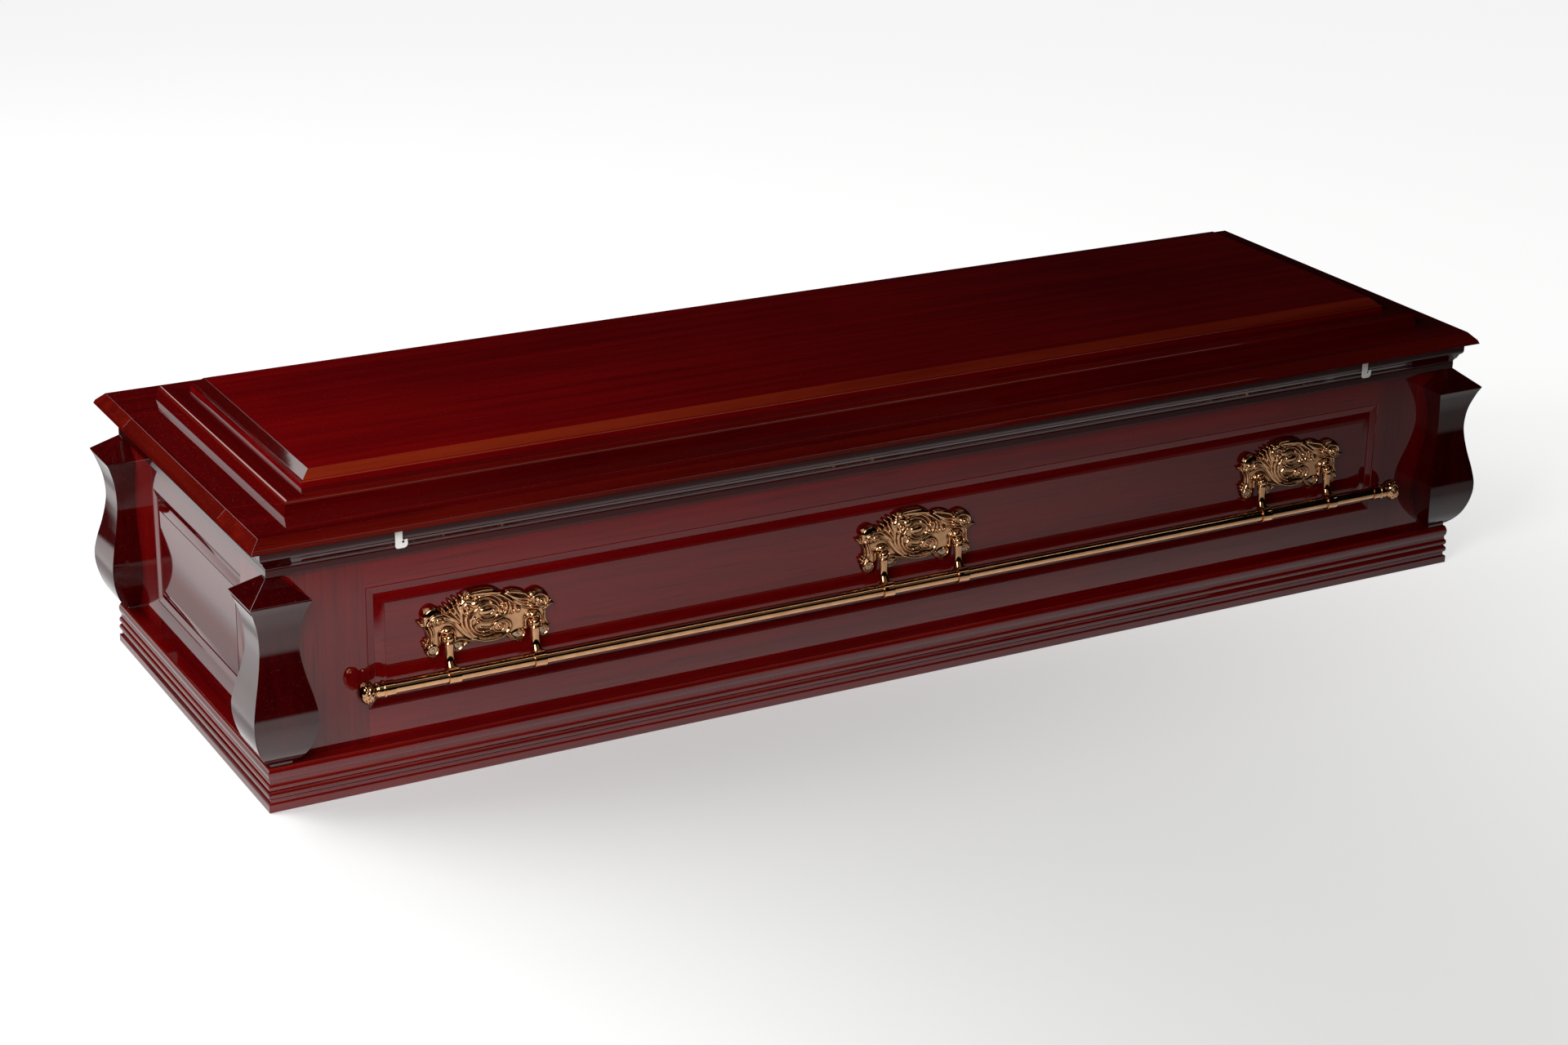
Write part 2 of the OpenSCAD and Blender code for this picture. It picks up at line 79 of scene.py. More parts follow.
# ---------------------------------------------------------------- shader maths
class Val:
    """A node socket, or a number, that plain arithmetic turns into Math nodes."""

    def __init__(self, tree, out):
        self.tree, self.out = tree, out

    def _math(self, op, a, b=None, c=None):
        inputs = {i: x for i, x in enumerate((a, b, c)) if x is not None}
        return node(self.tree, "ShaderNodeMath", {"operation": op}, inputs)

    def __add__(self, o): return self._math("ADD", self, o)
    def __sub__(self, o): return self._math("SUBTRACT", self, o)
    def __rsub__(self, o): return self._math("SUBTRACT", o, self)
    def __mul__(self, o): return self._math("MULTIPLY", self, o)
    def __pow__(self, o): return self._math("POWER", self, o)
    def clamp(self): return self._math("MINIMUM", self._math("MAXIMUM", self, 0.0), 1.0)

    def step(self, low, high):
        """0 below low, 1 above high, smooth between."""
        return node(self.tree, "ShaderNodeMapRange", {"interpolation_type": "SMOOTHSTEP"},
                    {0: self, 1: low, 2: high, 3: 0.0, 4: 1.0})


def node(tree, kind, settings=None, inputs=None, output=0):
    """Adds a node, sets its settings, fills its sockets, and wraps an output."""
    made = tree.nodes.new(kind)
    for key, value in (settings or {}).items():
        setattr(made, key, value)
    for key, value in (inputs or {}).items():
        if isinstance(value, Val):
            tree.links.new(value.out, made.inputs[key])
        else:
            made.inputs[key].default_value = value
    return Val(tree, made.outputs[output])


class Finish:
    """A material with one Principled shader, and helpers for patterns on it."""

    def __init__(self, name, **sockets):
        self.material = bpy.data.materials.new(name)
        self.material.use_nodes = True
        self.tree = self.material.node_tree
        self.shader = self.tree.nodes["Principled BSDF"]
        for key, value in sockets.items():
            self.set(key.replace("_", " ").title().replace("Ior", "IOR"), value)

    def set(self, socket, value):
        if isinstance(value, Val):
            self.tree.links.new(value.out, self.shader.inputs[socket])
        else:
            self.shader.inputs[socket].default_value = value

    def node(self, kind, settings=None, inputs=None, output=0):
        return node(self.tree, kind, settings, inputs, output)

    def attribute(self, name):
        return self.node("ShaderNodeAttribute", {"attribute_name": name}, output="Fac")

    def place(self, scale=(1.0, 1.0, 1.0), shift=(0.0, 0.0, 0.0)):
        """Object coordinates, scaled and shifted."""
        where = self.node("ShaderNodeTexCoord", output="Object")
        return self.node("ShaderNodeMapping", None, {0: where, 1: shift, 3: scale})

    def noise(self, at, scale, detail=3.0, rough=0.55, warp=0.0):
        return self.node("ShaderNodeTexNoise", None,
                         {"Vector": at, "Scale": scale, "Detail": detail,
                          "Roughness": rough, "Distortion": warp})

    def mix(self, factor, a, b):
        """Mixes two colours."""
        return self.node("ShaderNodeMix", {"data_type": "RGBA"},
                         {"Factor": factor, 6: a if isinstance(a, Val) else (*a, 1.0),
                          7: b if isinstance(b, Val) else (*b, 1.0)}, output=2)

    def bump(self, height, distance, strength):
        inputs = {"Height": height, "Distance": distance, "Strength": strength}
        self.set("Normal", self.node("ShaderNodeBump", None, inputs))


GLOSS = 0.035
SPECK = (0.26, 0.16, 0.15)
# Colours of a painted highlight laid on faces that slope upwards
SLOPE_HIGHLIGHT_TONES = (0.15, 0.016, 0.004), (0.27, 0.042, 0.010)
END_BEVEL_TONE = (0.010, 0.0008, 0.0004)
# How far the painted highlight shows on the lid's long bevels and on the other
# upward-sloping faces, and how far the darker tone shows on the lid's end bevels
BEVEL_HIGHLIGHT, MOULDING_HIGHLIGHT, END_BEVEL_DARKENING = 0.4, 0.08, 0.75


def mahogany(name, along, deep, warm, shift):
    """Stained mahogany under polished lacquer, with its grain along one axis.

    Ribbon figure and fine dark pores are noise stretched along the grain;
    the lacquer has faint waves and a few dust specks. One face attribute paints
    a paler highlight on upward-sloping faces, another darkens the lid's end bevels.
    """
    def stretched(across, lengthwise):
        scale = [across] * 3
        scale[along] = lengthwise
        return finish.place(scale, drift)

    finish = Finish(name, IOR=1.5)
    drift = (shift, shift * 0.7, shift * 1.3)
    ribbon = finish.noise(stretched(9.0, 0.55), 1.6, 4.0, 0.6, 0.8)
    bands = finish.noise(stretched(60.0, 1.4), 1.0, 3.0, 0.6, 0.4)
    pores = finish.noise(stretched(420.0, 9.0), 1.0, 1.0, 0.5).step(0.60, 0.72)
    cloud = finish.noise(finish.place((1, 1, 1), drift), 2.2, 2.0)
    tone = (ribbon * 0.55 + bands * 0.45 + (cloud - 0.5) * 0.35).step(0.30, 0.72)
    colour = finish.mix(tone, deep, warm)
    dark = tuple(c * 0.35 for c in deep)
    colour = finish.mix(pores * 0.5, colour, dark)
    specks = finish.noise(finish.place((1, 1, 1), drift), 900.0, 0.0).step(0.80, 0.84)
    colour = finish.mix(specks * 0.2, colour, SPECK)
    slope = finish.attribute("slope")
    # Painted highlight: upward-sloping faces take a paler, more orange colour
    colour = finish.mix(slope, colour, finish.mix(tone, *SLOPE_HIGHLIGHT_TONES))
    # The lid panel's end bevels are made darker
    colour = finish.mix(finish.attribute("end_bevel_darker"), colour, END_BEVEL_TONE)
    finish.set("Base Color", colour)
    finish.set("Roughness", specks * 0.4 + GLOSS)
    waves = finish.noise(finish.place((1, 1, 1)), 7.0, 1.0)
    finish.bump(waves + bands * 0.05 + pores * 0.004, 0.0012, 0.25)
    return finish.material


# key: name, grain axis, deep tone, warm tone, shift of the pattern
WOODS = {
    "x": ("lengthwise", 0, (0.080, 0.0001, 0.0010), (0.150, 0.0012, 0.0016), 0.0),
    "y": ("crosswise", 1, (0.046, 0.0001, 0.0006), (0.086, 0.0008, 0.0010), 3.1),
    "lid_x": ("lid_lengthwise", 0, (0.044, 0.0001, 0.0006), (0.090, 0.0008, 0.0010), 8.9),
    "lid_y": ("lid_crosswise", 1, (0.038, 0.0001, 0.0006), (0.078, 0.0008, 0.0010), 6.1),
    # Darker copies of the body wood for the cornice: painted shade under the lid's overhang
    "painted_shade_x": ("painted_shade_lengthwise", 0, (0.020, 0.0001, 0.0003), (0.040, 0.0003, 0.0005), 2.3),
    "painted_shade_y": ("painted_shade_crosswise", 1, (0.016, 0.0001, 0.0003), (0.034, 0.0005, 0.0006), 4.3),
    "z": ("upright", 2, (0.070, 0.0002, 0.0008), (0.125, 0.0022, 0.0020), 7.7),
    "post": ("post", 2, (0.021, 0.0001, 0.0004), (0.044, 0.0006, 0.0006), 5.3),
    "panel": ("panel", 0, (0.085, 0.0002, 0.0009), (0.135, 0.0014, 0.0016), 11.3),
}
woods = {key: mahogany("mahogany_" + row[0], *row[1:]) for key, row in WOODS.items()}


def raw_timber():
    """Plain sanded timber for the inside and the underside."""
    finish = Finish("plain_timber", Roughness=0.7)
    grain = finish.noise(finish.place((2.0, 60.0, 60.0)), 1.0, 4.0, 0.6, 0.3)
    colour = finish.mix(grain.step(0.3, 0.7), (0.30, 0.16, 0.09), (0.42, 0.25, 0.15))
    finish.set("Base Color", colour)
    finish.bump(grain, 0.0006, 0.3)
    return finish.material


def copper(name):
    """Polished antique copper, with dark lacquer left in the recesses."""
    finish = Finish(name, Metallic=1.0)
    hollow = finish.attribute("hollow")
    patches = finish.noise(finish.place(), 60.0, 3.0)
    bright = finish.mix(patches.step(0.35, 0.7), (0.46, 0.25, 0.13), (0.55, 0.305, 0.16))
    dirt = (hollow * 1.15 - patches * 0.25).clamp()
    finish.set("Base Color", finish.mix(dirt, bright, (0.07, 0.018, 0.007)))
    finish.set("Roughness", patches * 0.04 + hollow * 0.16 + 0.05)
    finish.bump(finish.noise(finish.place(), 300.0, 1.0), 0.0002, 0.15)
    return finish.material


def plain(name, colour, roughness, metallic=0.0):
    """One colour with a little unevenness."""
    finish = Finish(name, Metallic=metallic)
    uneven = finish.noise(finish.place(), 180.0, 2.0)
    darker = tuple(c * 0.8 for c in colour)
    finish.set("Base Color", finish.mix(uneven, colour, darker))
    finish.set("Roughness", uneven * 0.1 + roughness)
    return finish.material


timber = raw_timber()
copper_metal = copper("antique_copper")
steel = plain("screw_steel", (0.42, 0.43, 0.45), 0.28, 1.0)
white_paint = plain("catch_white_paint", (0.80, 0.79, 0.76), 0.35)


# ---------------------------------------------------------------- mesh helpers
# Degrees past which an edge is sharp
SHARP, POST_SHARP, CAST_SHARP = 35.0, 50.0, 60.0


@contextmanager
def editing(mesh):
    """Opens a mesh for bmesh work and writes it back."""
    bm = bmesh.new()
    bm.from_mesh(mesh)
    yield bm
    bm.to_mesh(mesh)
    bm.free()


def attribute(mesh, name, domain, values):
    made = mesh.attributes.new(name, "FLOAT", domain)
    made.data.foreach_set("value", np.asarray(values, np.float32))


def linked(name, data):
    """A new object in the scene."""
    obj = bpy.data.objects.new(name, data)
    bpy.context.scene.collection.objects.link(obj)
    return obj


def piece(name, points, faces, material, slot, body, replaces=(), hollow=None, sharp=SHARP):
    """One finished piece: mm points and faces into a smooth-shaded mesh."""
    mesh = bpy.data.meshes.new(name)
    mesh.from_pydata((np.asarray(points) * MM).tolist(), [], [list(f) for f in faces])
    mesh.materials.append(material)
    if hollow is not None:
        attribute(mesh, "hollow", "POINT", hollow)
    return settle(name, mesh, slot, body, replaces, sharp)


def settle(name, mesh, slot, body, replaces=(), sharp=SHARP):
    """Merges doubles, turns faces outwards, marks sharp edges and registers the piece."""
    limit = math.radians(sharp)
    with editing(mesh) as bm:
        bmesh.ops.remove_doubles(bm, verts=bm.verts[:], dist=2e-6)
        bmesh.ops.recalc_face_normals(bm, faces=bm.faces[:])
        for edge in bm.edges:
            edge.smooth = len(edge.link_faces) == 2 and edge.calc_face_angle(0.0) < limit
        for face in bm.faces:
            face.smooth = True
    if slot in ("lid_wood", "case_wood"):
        normals = np.empty(3 * len(mesh.polygons), np.float32)
        mesh.polygons.foreach_get("normal", normals)
        rise = normals[2::3]
        # Painted highlight on upward-sloping faces, most on the lid panel's long bevels; its end
        # bevels darker
        long_side = np.abs(normals[1::3]) > np.abs(normals[0::3])
        sloping = np.clip((rise - 0.25) / 0.2, 0, 1) * np.clip((0.97 - rise) / 0.05, 0, 1)
        if name == "lid_raised_panel":
            attribute(mesh, "end_bevel_darker", "FACE", sloping * ~long_side * END_BEVEL_DARKENING)
            attribute(mesh, "slope", "FACE", sloping * long_side * BEVEL_HIGHLIGHT)
        else:
            attribute(mesh, "slope", "FACE", sloping * MOULDING_HIGHLIGHT)
    obj = linked(name, mesh)
    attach(obj, body)
    if replaces:
        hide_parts(*replaces)
    return obj


def grid_faces(rows, columns, wrap=False):
    """Quads of a grid of points stored row by row, each row joined up if it wraps."""
    a, b = np.meshgrid(np.arange(rows - 1), np.arange(columns - (not wrap)), indexing="ij")
    a, b = columns * a.ravel(), b.ravel()
    b2 = (b + 1) % columns
    return np.stack([a + b, a + b2, a + columns + b2, a + columns + b], 1)


def tube(points):
    """Points and faces of a closed tube, from rows of rings of points.

    The last two faces are its ends.
    """
    rows, columns = points.shape[:2]
    ends = [list(range(columns)), list(range((rows - 1) * columns, rows * columns))]
    return points.reshape(-1, 3), grid_faces(rows, columns, True).tolist() + ends


def eased(corners, arc_steps=4, hold=0.35):
    """A closed outline with its corners rounded.

    Corners are rows of [u, v, radius]. Each rounded corner becomes a holding
    point, an arc and a holding point, so that flat faces stay flat under
    smooth shading. A radius of 0 leaves the corner as one point.
    """
    c = np.asarray(corners, float)
    p, radius = c[:, :2], c[:, 2]
    before, after = np.roll(p, 1, 0) - p, np.roll(p, -1, 0) - p
    len_a, len_b = np.linalg.norm(before, axis=1), np.linalg.norm(after, axis=1)
    a, b = before / len_a[:, None], after / len_b[:, None]
    half = 0.5 * np.arccos(np.clip((a * b).sum(1), -1, 1))
    reach = np.minimum(radius / np.maximum(np.tan(half), 1e-6), 0.45 * np.minimum(len_a, len_b))
    radius = reach * np.tan(half)
    middle = a + b
    middle /= np.maximum(np.linalg.norm(middle, axis=1), 1e-9)[:, None]
    centre = p + middle * (radius / np.maximum(np.sin(half), 1e-6))[:, None]
    t = np.linspace(0.0, 1.0, arc_steps + 1)[None, :, None]
    start, end = p + a * reach[:, None], p + b * reach[:, None]
    u, v = start - centre, end - centre
    angle = (math.pi - 2 * half)[:, None, None]
    sine = np.maximum(np.sin(angle), 1e-9)
    arc = (np.sin((1 - t) * angle) * u[:, None] + np.sin(t * angle) * v[:, None]) / sine
    arc = centre[:, None] + arc
    pad_a = start + a * np.minimum(hold, 0.04 * len_a)[:, None]
    pad_b = end + b * np.minimum(hold, 0.04 * len_b)[:, None]
    points = np.concatenate([pad_a[:, None], arc, pad_b[:, None]], 1)
    keep = np.ones(points.shape[:2], bool)
    flat = radius < 1e-6
    keep[flat] = False
    keep[flat, 1] = True
    points[flat, 1] = p[flat]
    return points[keep]


def arc_row(centre, r, start, stop, steps=14):
    """Points of a circular arc as rows of [u, v, 0], angles in degrees."""
    t = np.radians(np.linspace(start, stop, steps + 1))
    return np.stack([centre[0] + r * np.cos(t), centre[1] + r * np.sin(t), 0 * t], 1).tolist()


def bead_row(root, low, high, rise, steps=14):
    """A bead between two heights, standing out from an inset, as an arc."""
    half = (high - low) / 2
    r = (half * half + rise * rise) / (2 * rise)
    t = math.asin(half / r) * np.linspace(-1, 1, steps + 1)
    inset = root - r * np.cos(t) + r - rise
    return np.stack([inset, (low + high) / 2 + r * np.sin(t), 0 * t], 1).tolist()


def catmull(stations, steps):
    """A Catmull-Rom line through rows of numbers, the ends repeated."""
    s = np.asarray(stations, float)
    padded = np.concatenate([s[:1], s, s[-1:]])
    a, b, c, d = (padded[i:i + len(s) - 1, None] for i in range(4))
    t = np.linspace(0, 1, steps, endpoint=False)[None, :, None]
    line = 0.5 * (2 * b + (c - a) * t + (2 * a - 5 * b + 4 * c - d) * t ** 2
                  + (3 * b - a - 3 * c + d) * t ** 3)
    return np.concatenate([line.reshape(-1, s.shape[1]), s[-1:]])


def turned(points, side):
    """Quarter turns about Z of points made for the front: 1 right, 2 back, 3 left."""
    p = np.asarray(points, float)
    c, s = ((1, 0), (0, 1), (-1, 0), (0, -1))[side]
    return np.stack([c * p[..., 0] - s * p[..., 1], s * p[..., 0] + c * p[..., 1], p[..., 2]], -1)


SIDES = ("front", "right", "back", "left")
GRAIN = ("x", "y", "x", "y")
RUN_STATIONS = 9


def straight_run(name, corners, side, slot, source, wood):
    """A profile of [inset, height] carried along one side of the lid or body.

    Each point runs as far as the half length less its inset, which mitres
    both ends; each end is closed with one face.
    """
    profile = eased(corners)
    half, depth = LID_HALF if side % 2 == 0 else LID_HALF[::-1]
    t = np.linspace(-1.0, 1.0, RUN_STATIONS)[:, None]
    points, faces = tube(np.stack([t * (half - profile[:, 0]), profile[:, 0] - depth + 0 * t,
                                   profile[:, 1] + 0 * t], -1))
    return piece(name, turned(points, side), faces, woods[wood], slot, "casket", [source])


# ---------------------------------------------------------------- mouldings
def lifted(rows, height):
    """Profile rows of [inset, height, radius], lifted."""
    return [[u, v + height, r] for u, v, r in rows]


ARRIS = 0.9
plinth_profile = (
    [[OVERHANG, 0, 0], [14, 0, 1.6], [14, 12.4, 1.4], [17.4, 13.2, 0.4], [17.5, 18, 0.3]]
    + bead_row(17.5, 18.4, 30.4, 3.2) + [[17.7, 30.7, 0]]
    + bead_row(17.5, 31.0, 42.2, 2.7) + [[17.7, 45.5, 0.3]]
    + bead_row(17.8, 46.5, 64.6, 2.5, 18) + [[18.6, PLINTH_H, 0.6], [OVERHANG, PLINTH_H, 0]])
cornice_profile = lifted(
    [[OVERHANG, 0, 0], [17, 0, 0]] + arc_row((25, -14), 8, 180, 238) + [[21.6, -21.2, 0.3]]
    + arc_row((20.2, -35.2), 8.2, 56, 6)
    + [[28, -35.6, 0.3], [28, -CORNICE_H, 0.5], [OVERHANG, -CORNICE_H, 0]], BODY_TOP)
step_profile = lifted(
    [[150, 0, 0], [74, 0, 0], [74.2, 1.2, 0.3], [75, 5, 0], [76.2, 9.5, 0]]
    + arc_row((83.7, STEP_T - 7), 7, 172, 92, 16) + [[86.5, STEP_T, 0], [150, STEP_T, 0]], RIM_TOP)
top_profile = lifted(
    [[114, 0, 0], [114.5, 4.6, 0]] + arc_row((117.4, 7.2), 2.6, 195, 100, 10)
    + [[118.7, 10.3, 0.3], [131.2, TOP_T, ARRIS], [200, TOP_T, 0]], STEP_TOP)

for side, word in enumerate(SIDES):
    grain = GRAIN[side]
    for name, profile, slot, source, wood in (
            ("plinth_moulding_", plinth_profile, "case_wood", "plinth_", grain),
            # The cornice takes a darker wood: painted shade under the lid
            ("cornice_moulding_", cornice_profile, "case_wood", "cornice_", "painted_shade_" + grain),
            ("lid_step_moulding_", step_profile, "lid_wood", "lid_step_", "lid_" + grain)):
        straight_run(name + word, profile, side, slot, source + word, wood)


def ringed_slab(name, corners, half, wood, slot, source, upright=None, side=0):
    """A slab whose edge profile of [inset, height] runs round all four sides.

    Each profile point is a rectangle drawn in by its inset; the first and the
    last rectangle are filled. Laid flat for the lid, where the profile's last
    corner only gives the direction of the top, or stood up for a panel, where
    upright gives the place of the outer face and the middle height.
    """
    profile = eased(corners)[:-1] if upright is None else eased(corners)
    signs = np.array([[-1, -1], [1, -1], [1, 1], [-1, 1]], float)
    across = signs[None] * (np.asarray(half)[None] - profile[:, :1])[:, None]
    height = np.broadcast_to(profile[:, None, 1:2], across.shape[:2] + (1,))
    points, faces = tube(np.concatenate([across, height], 2))
    if upright is not None:
        out, middle = upright
        points = np.stack([points[:, 0], points[:, 2] - out, points[:, 1] + middle], 1)
        points = turned(points, side)
    return piece(name, points, faces, woods[wood], slot, "casket", [source])


ringed_slab("lid_raised_panel", top_profile, LID_HALF, "x", "lid_wood", "lid_top_panel")

# Raised panels: tongue, hollow bevel and flat field, as [inset, depth]
BEVEL_ARC = math.radians(72)
sweep = np.linspace(0.0, 1.0, 9)
dip = 3.8 - 3.0 * np.sin(BEVEL_ARC * sweep) / math.sin(BEVEL_ARC)
panel_edge = np.concatenate([
    [[4, 12, 0], [4, 6, 0], [12.3, 6, 0]], np.stack([12.3 + 14.5 * sweep, dip, 0 * sweep], 1),
    [[27.0, 0.75, 0], [27.2, 0.25, 0], [27.7, 0.2, 0], [29.0, 0.2, 0]]])
for side, word in enumerate(SIDES):
    opening, outer, wood = ((LONG_OPEN, BODY_HALF[1], "panel") if side % 2 == 0
                            else (END_OPEN, BODY_HALF[0], "y"))
    ringed_slab("raised_panel_" + word, panel_edge.tolist(), (opening, (OPEN_HIGH - OPEN_LOW) / 2),
                wood, "case_wood", word + "_panel", (outer, (OPEN_LOW + OPEN_HIGH) / 2), side)


# ---------------------------------------------------------------- boards kept from the model
# Degrees below which two faces are one flat face, and past which an edge is rounded
FLAT, BOARD_ANGLE, CATCH_ANGLE = 0.5, 40, 60


def eased_copy(name, source, material, slot, width, angle=BOARD_ANGLE, segments=3, shape=0.5,
               top=None):
    """A copy of a board, its flat faces joined up and its arrises rounded.

    Edges sharper than angle are rounded, and nothing is left above top.
    """
    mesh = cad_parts[source].data.copy()
    mesh.name = name
    mesh.materials.clear()
    mesh.materials.append(material)
    with editing(mesh) as bm:
        bmesh.ops.remove_doubles(bm, verts=bm.verts[:], dist=1e-5)
        bmesh.ops.dissolve_limit(bm, angle_limit=math.radians(FLAT), verts=bm.verts[:],
                                 edges=bm.edges[:])
        sharp = [e for e in bm.edges if e.calc_face_angle(0.0) > math.radians(angle)]
        bmesh.ops.bevel(bm, geom=sharp, offset=width * MM, segments=segments, profile=shape,
                        affect="EDGES", clamp_overlap=True, offset_type="OFFSET")
        if top is not None:
            for vert in bm.verts:
                vert.co.z = min(vert.co.z, top * MM)
    obj = settle(name, mesh, slot, "casket", [source])
    # Large flat faces keep their own normal next to rounded arrises
    flat_faces = obj.modifiers.new("flat_faces", "WEIGHTED_NORMAL")
    flat_faces.keep_sharp = True
    flat_faces.weight = 80


for side, word in enumerate(SIDES):
    hands = ("left", "right") if side % 2 == 0 else ("front", "back")
    parts = [("top_rail", GRAIN[side]), ("bottom_rail", GRAIN[side])]
    for part, wood in parts + [(hand + "_stile", "z") for hand in hands]:
        source = "%s_%s" % (word, part)
        eased_copy("board_" + source, source, woods[wood], "case_wood", BOARD_EASE)
    eased_copy("rim_board_" + word, "lid_rim_" + word, woods["lid_" + GRAIN[side]], "lid_wood",
               RIM_EASE)
eased_copy("bottom_board", "floor_board", timber, "floor_wood", FLOOR_EASE)


# ---------------------------------------------------------------- corner posts
POST_STATIONS = [
    [6, 18.5], [16, 28.2], [31, 37], [54, 44], [79, 46.2], [106, 41.8], [134, 34.8], [160, 29.8],
    [182, 28], [209, 30.6], [235, 38.3], [247, 43.5]]


# The column's foot and head as [height, half width], below and above the S curve
POST_FOOT = [
    [0, 15.2], [0.4, 15.8], [1.5, 16], [5.6, 16.2]]
POST_HEAD = [
    [248, 43.6], [248.9, 43.2], [249.8, 42.2], [275.4, 8.6], [276, 8]]
POST_WIDEST = 46.15


def corner_post(name, x_sign, y_sign, source):
    """A square column whose half width follows an S curve with height.

    The section at each height is an L: the square less the body's corner,
    its outer arris rounded. The S curve is a Catmull-Rom line.
    """
    curve = catmull(POST_STATIONS, 8)
    curve[:, 1] = np.minimum(curve[:, 1], POST_WIDEST)
    heights, halves = np.concatenate([POST_FOOT, curve, POST_HEAD]).T
    soft, hold = 1.1, 0.4
    quarter = np.radians(np.linspace(0, 90, 5))
    # Round the L: end on X, outer arris between two holding points, end on Y, notch
    signs = np.array([[1, -1]] + [[1, 1]] * 7 + [[-1, 1], [-1, 0], [0, 0], [0, -1]], float)
    offset = np.zeros_like(signs)
    offset[1, 1] = offset[7, 0] = -soft - hold
    offset[2:7] = np.stack([np.cos(quarter), np.sin(quarter)], 1) * soft - soft
    section = halves[:, None, None] * signs + offset
    z = np.broadcast_to(heights[:, None] + PLINTH_H, section.shape[:2])
    points, faces = tube(np.stack([x_sign * (section[..., 0] + BODY_HALF[0]),
                                   y_sign * (section[..., 1] + BODY_HALF[1]), z], -1))
    piece(name, points, faces, woods["post"], "post_wood", "casket", [source], sharp=POST_SHARP)


for word, x_sign, y_sign in (("front_left", -1, -1), ("front_right", 1, -1),
                             ("back_right", 1, 1), ("back_left", -1, 1)):
    corner_post("scrolled_post_" + word, x_sign, y_sign, "post_" + word)


# ---------------------------------------------------------------- handle plates
# Relief strokes: rise, then rows of x, z, half width along the stroke's middle.
# Heights are above the underside of the casket, x is from the plate's middle.
PLATE_OUTLINE = [
    (-98, 232), (-93, 225), (-92, 215), (-93, 206), (-95, 197), (-94, 188), (-89, 182.5),
    (-82, 182), (-75, 186), (-72, 192), (-68, 197), (-52, 197), (-50, 191), (-46, 184.5),
    (-39, 185.5), (-31, 191), (-20, 192.5), (-9, 189), (3, 187), (16, 188), (27, 191.5),
    (35, 187.5), (43, 183.5), (51, 183.5), (57, 188), (61, 196), (79, 196), (81, 187), (86, 182),
    (92, 184), (95, 190), (94, 198), (92, 208), (93, 218), (97, 226), (97.5, 236), (95, 246),
    (89, 254), (80, 258), (70, 257), (62, 254), (52, 258.5), (40, 261), (29, 260.5), (20, 264.5),
    (8, 269), (-4, 270), (-18, 269), (-30, 266), (-42, 260), (-52, 253), (-61, 249), (-70, 254),
    (-80, 259), (-90, 258), (-98, 252), (-101, 243)]
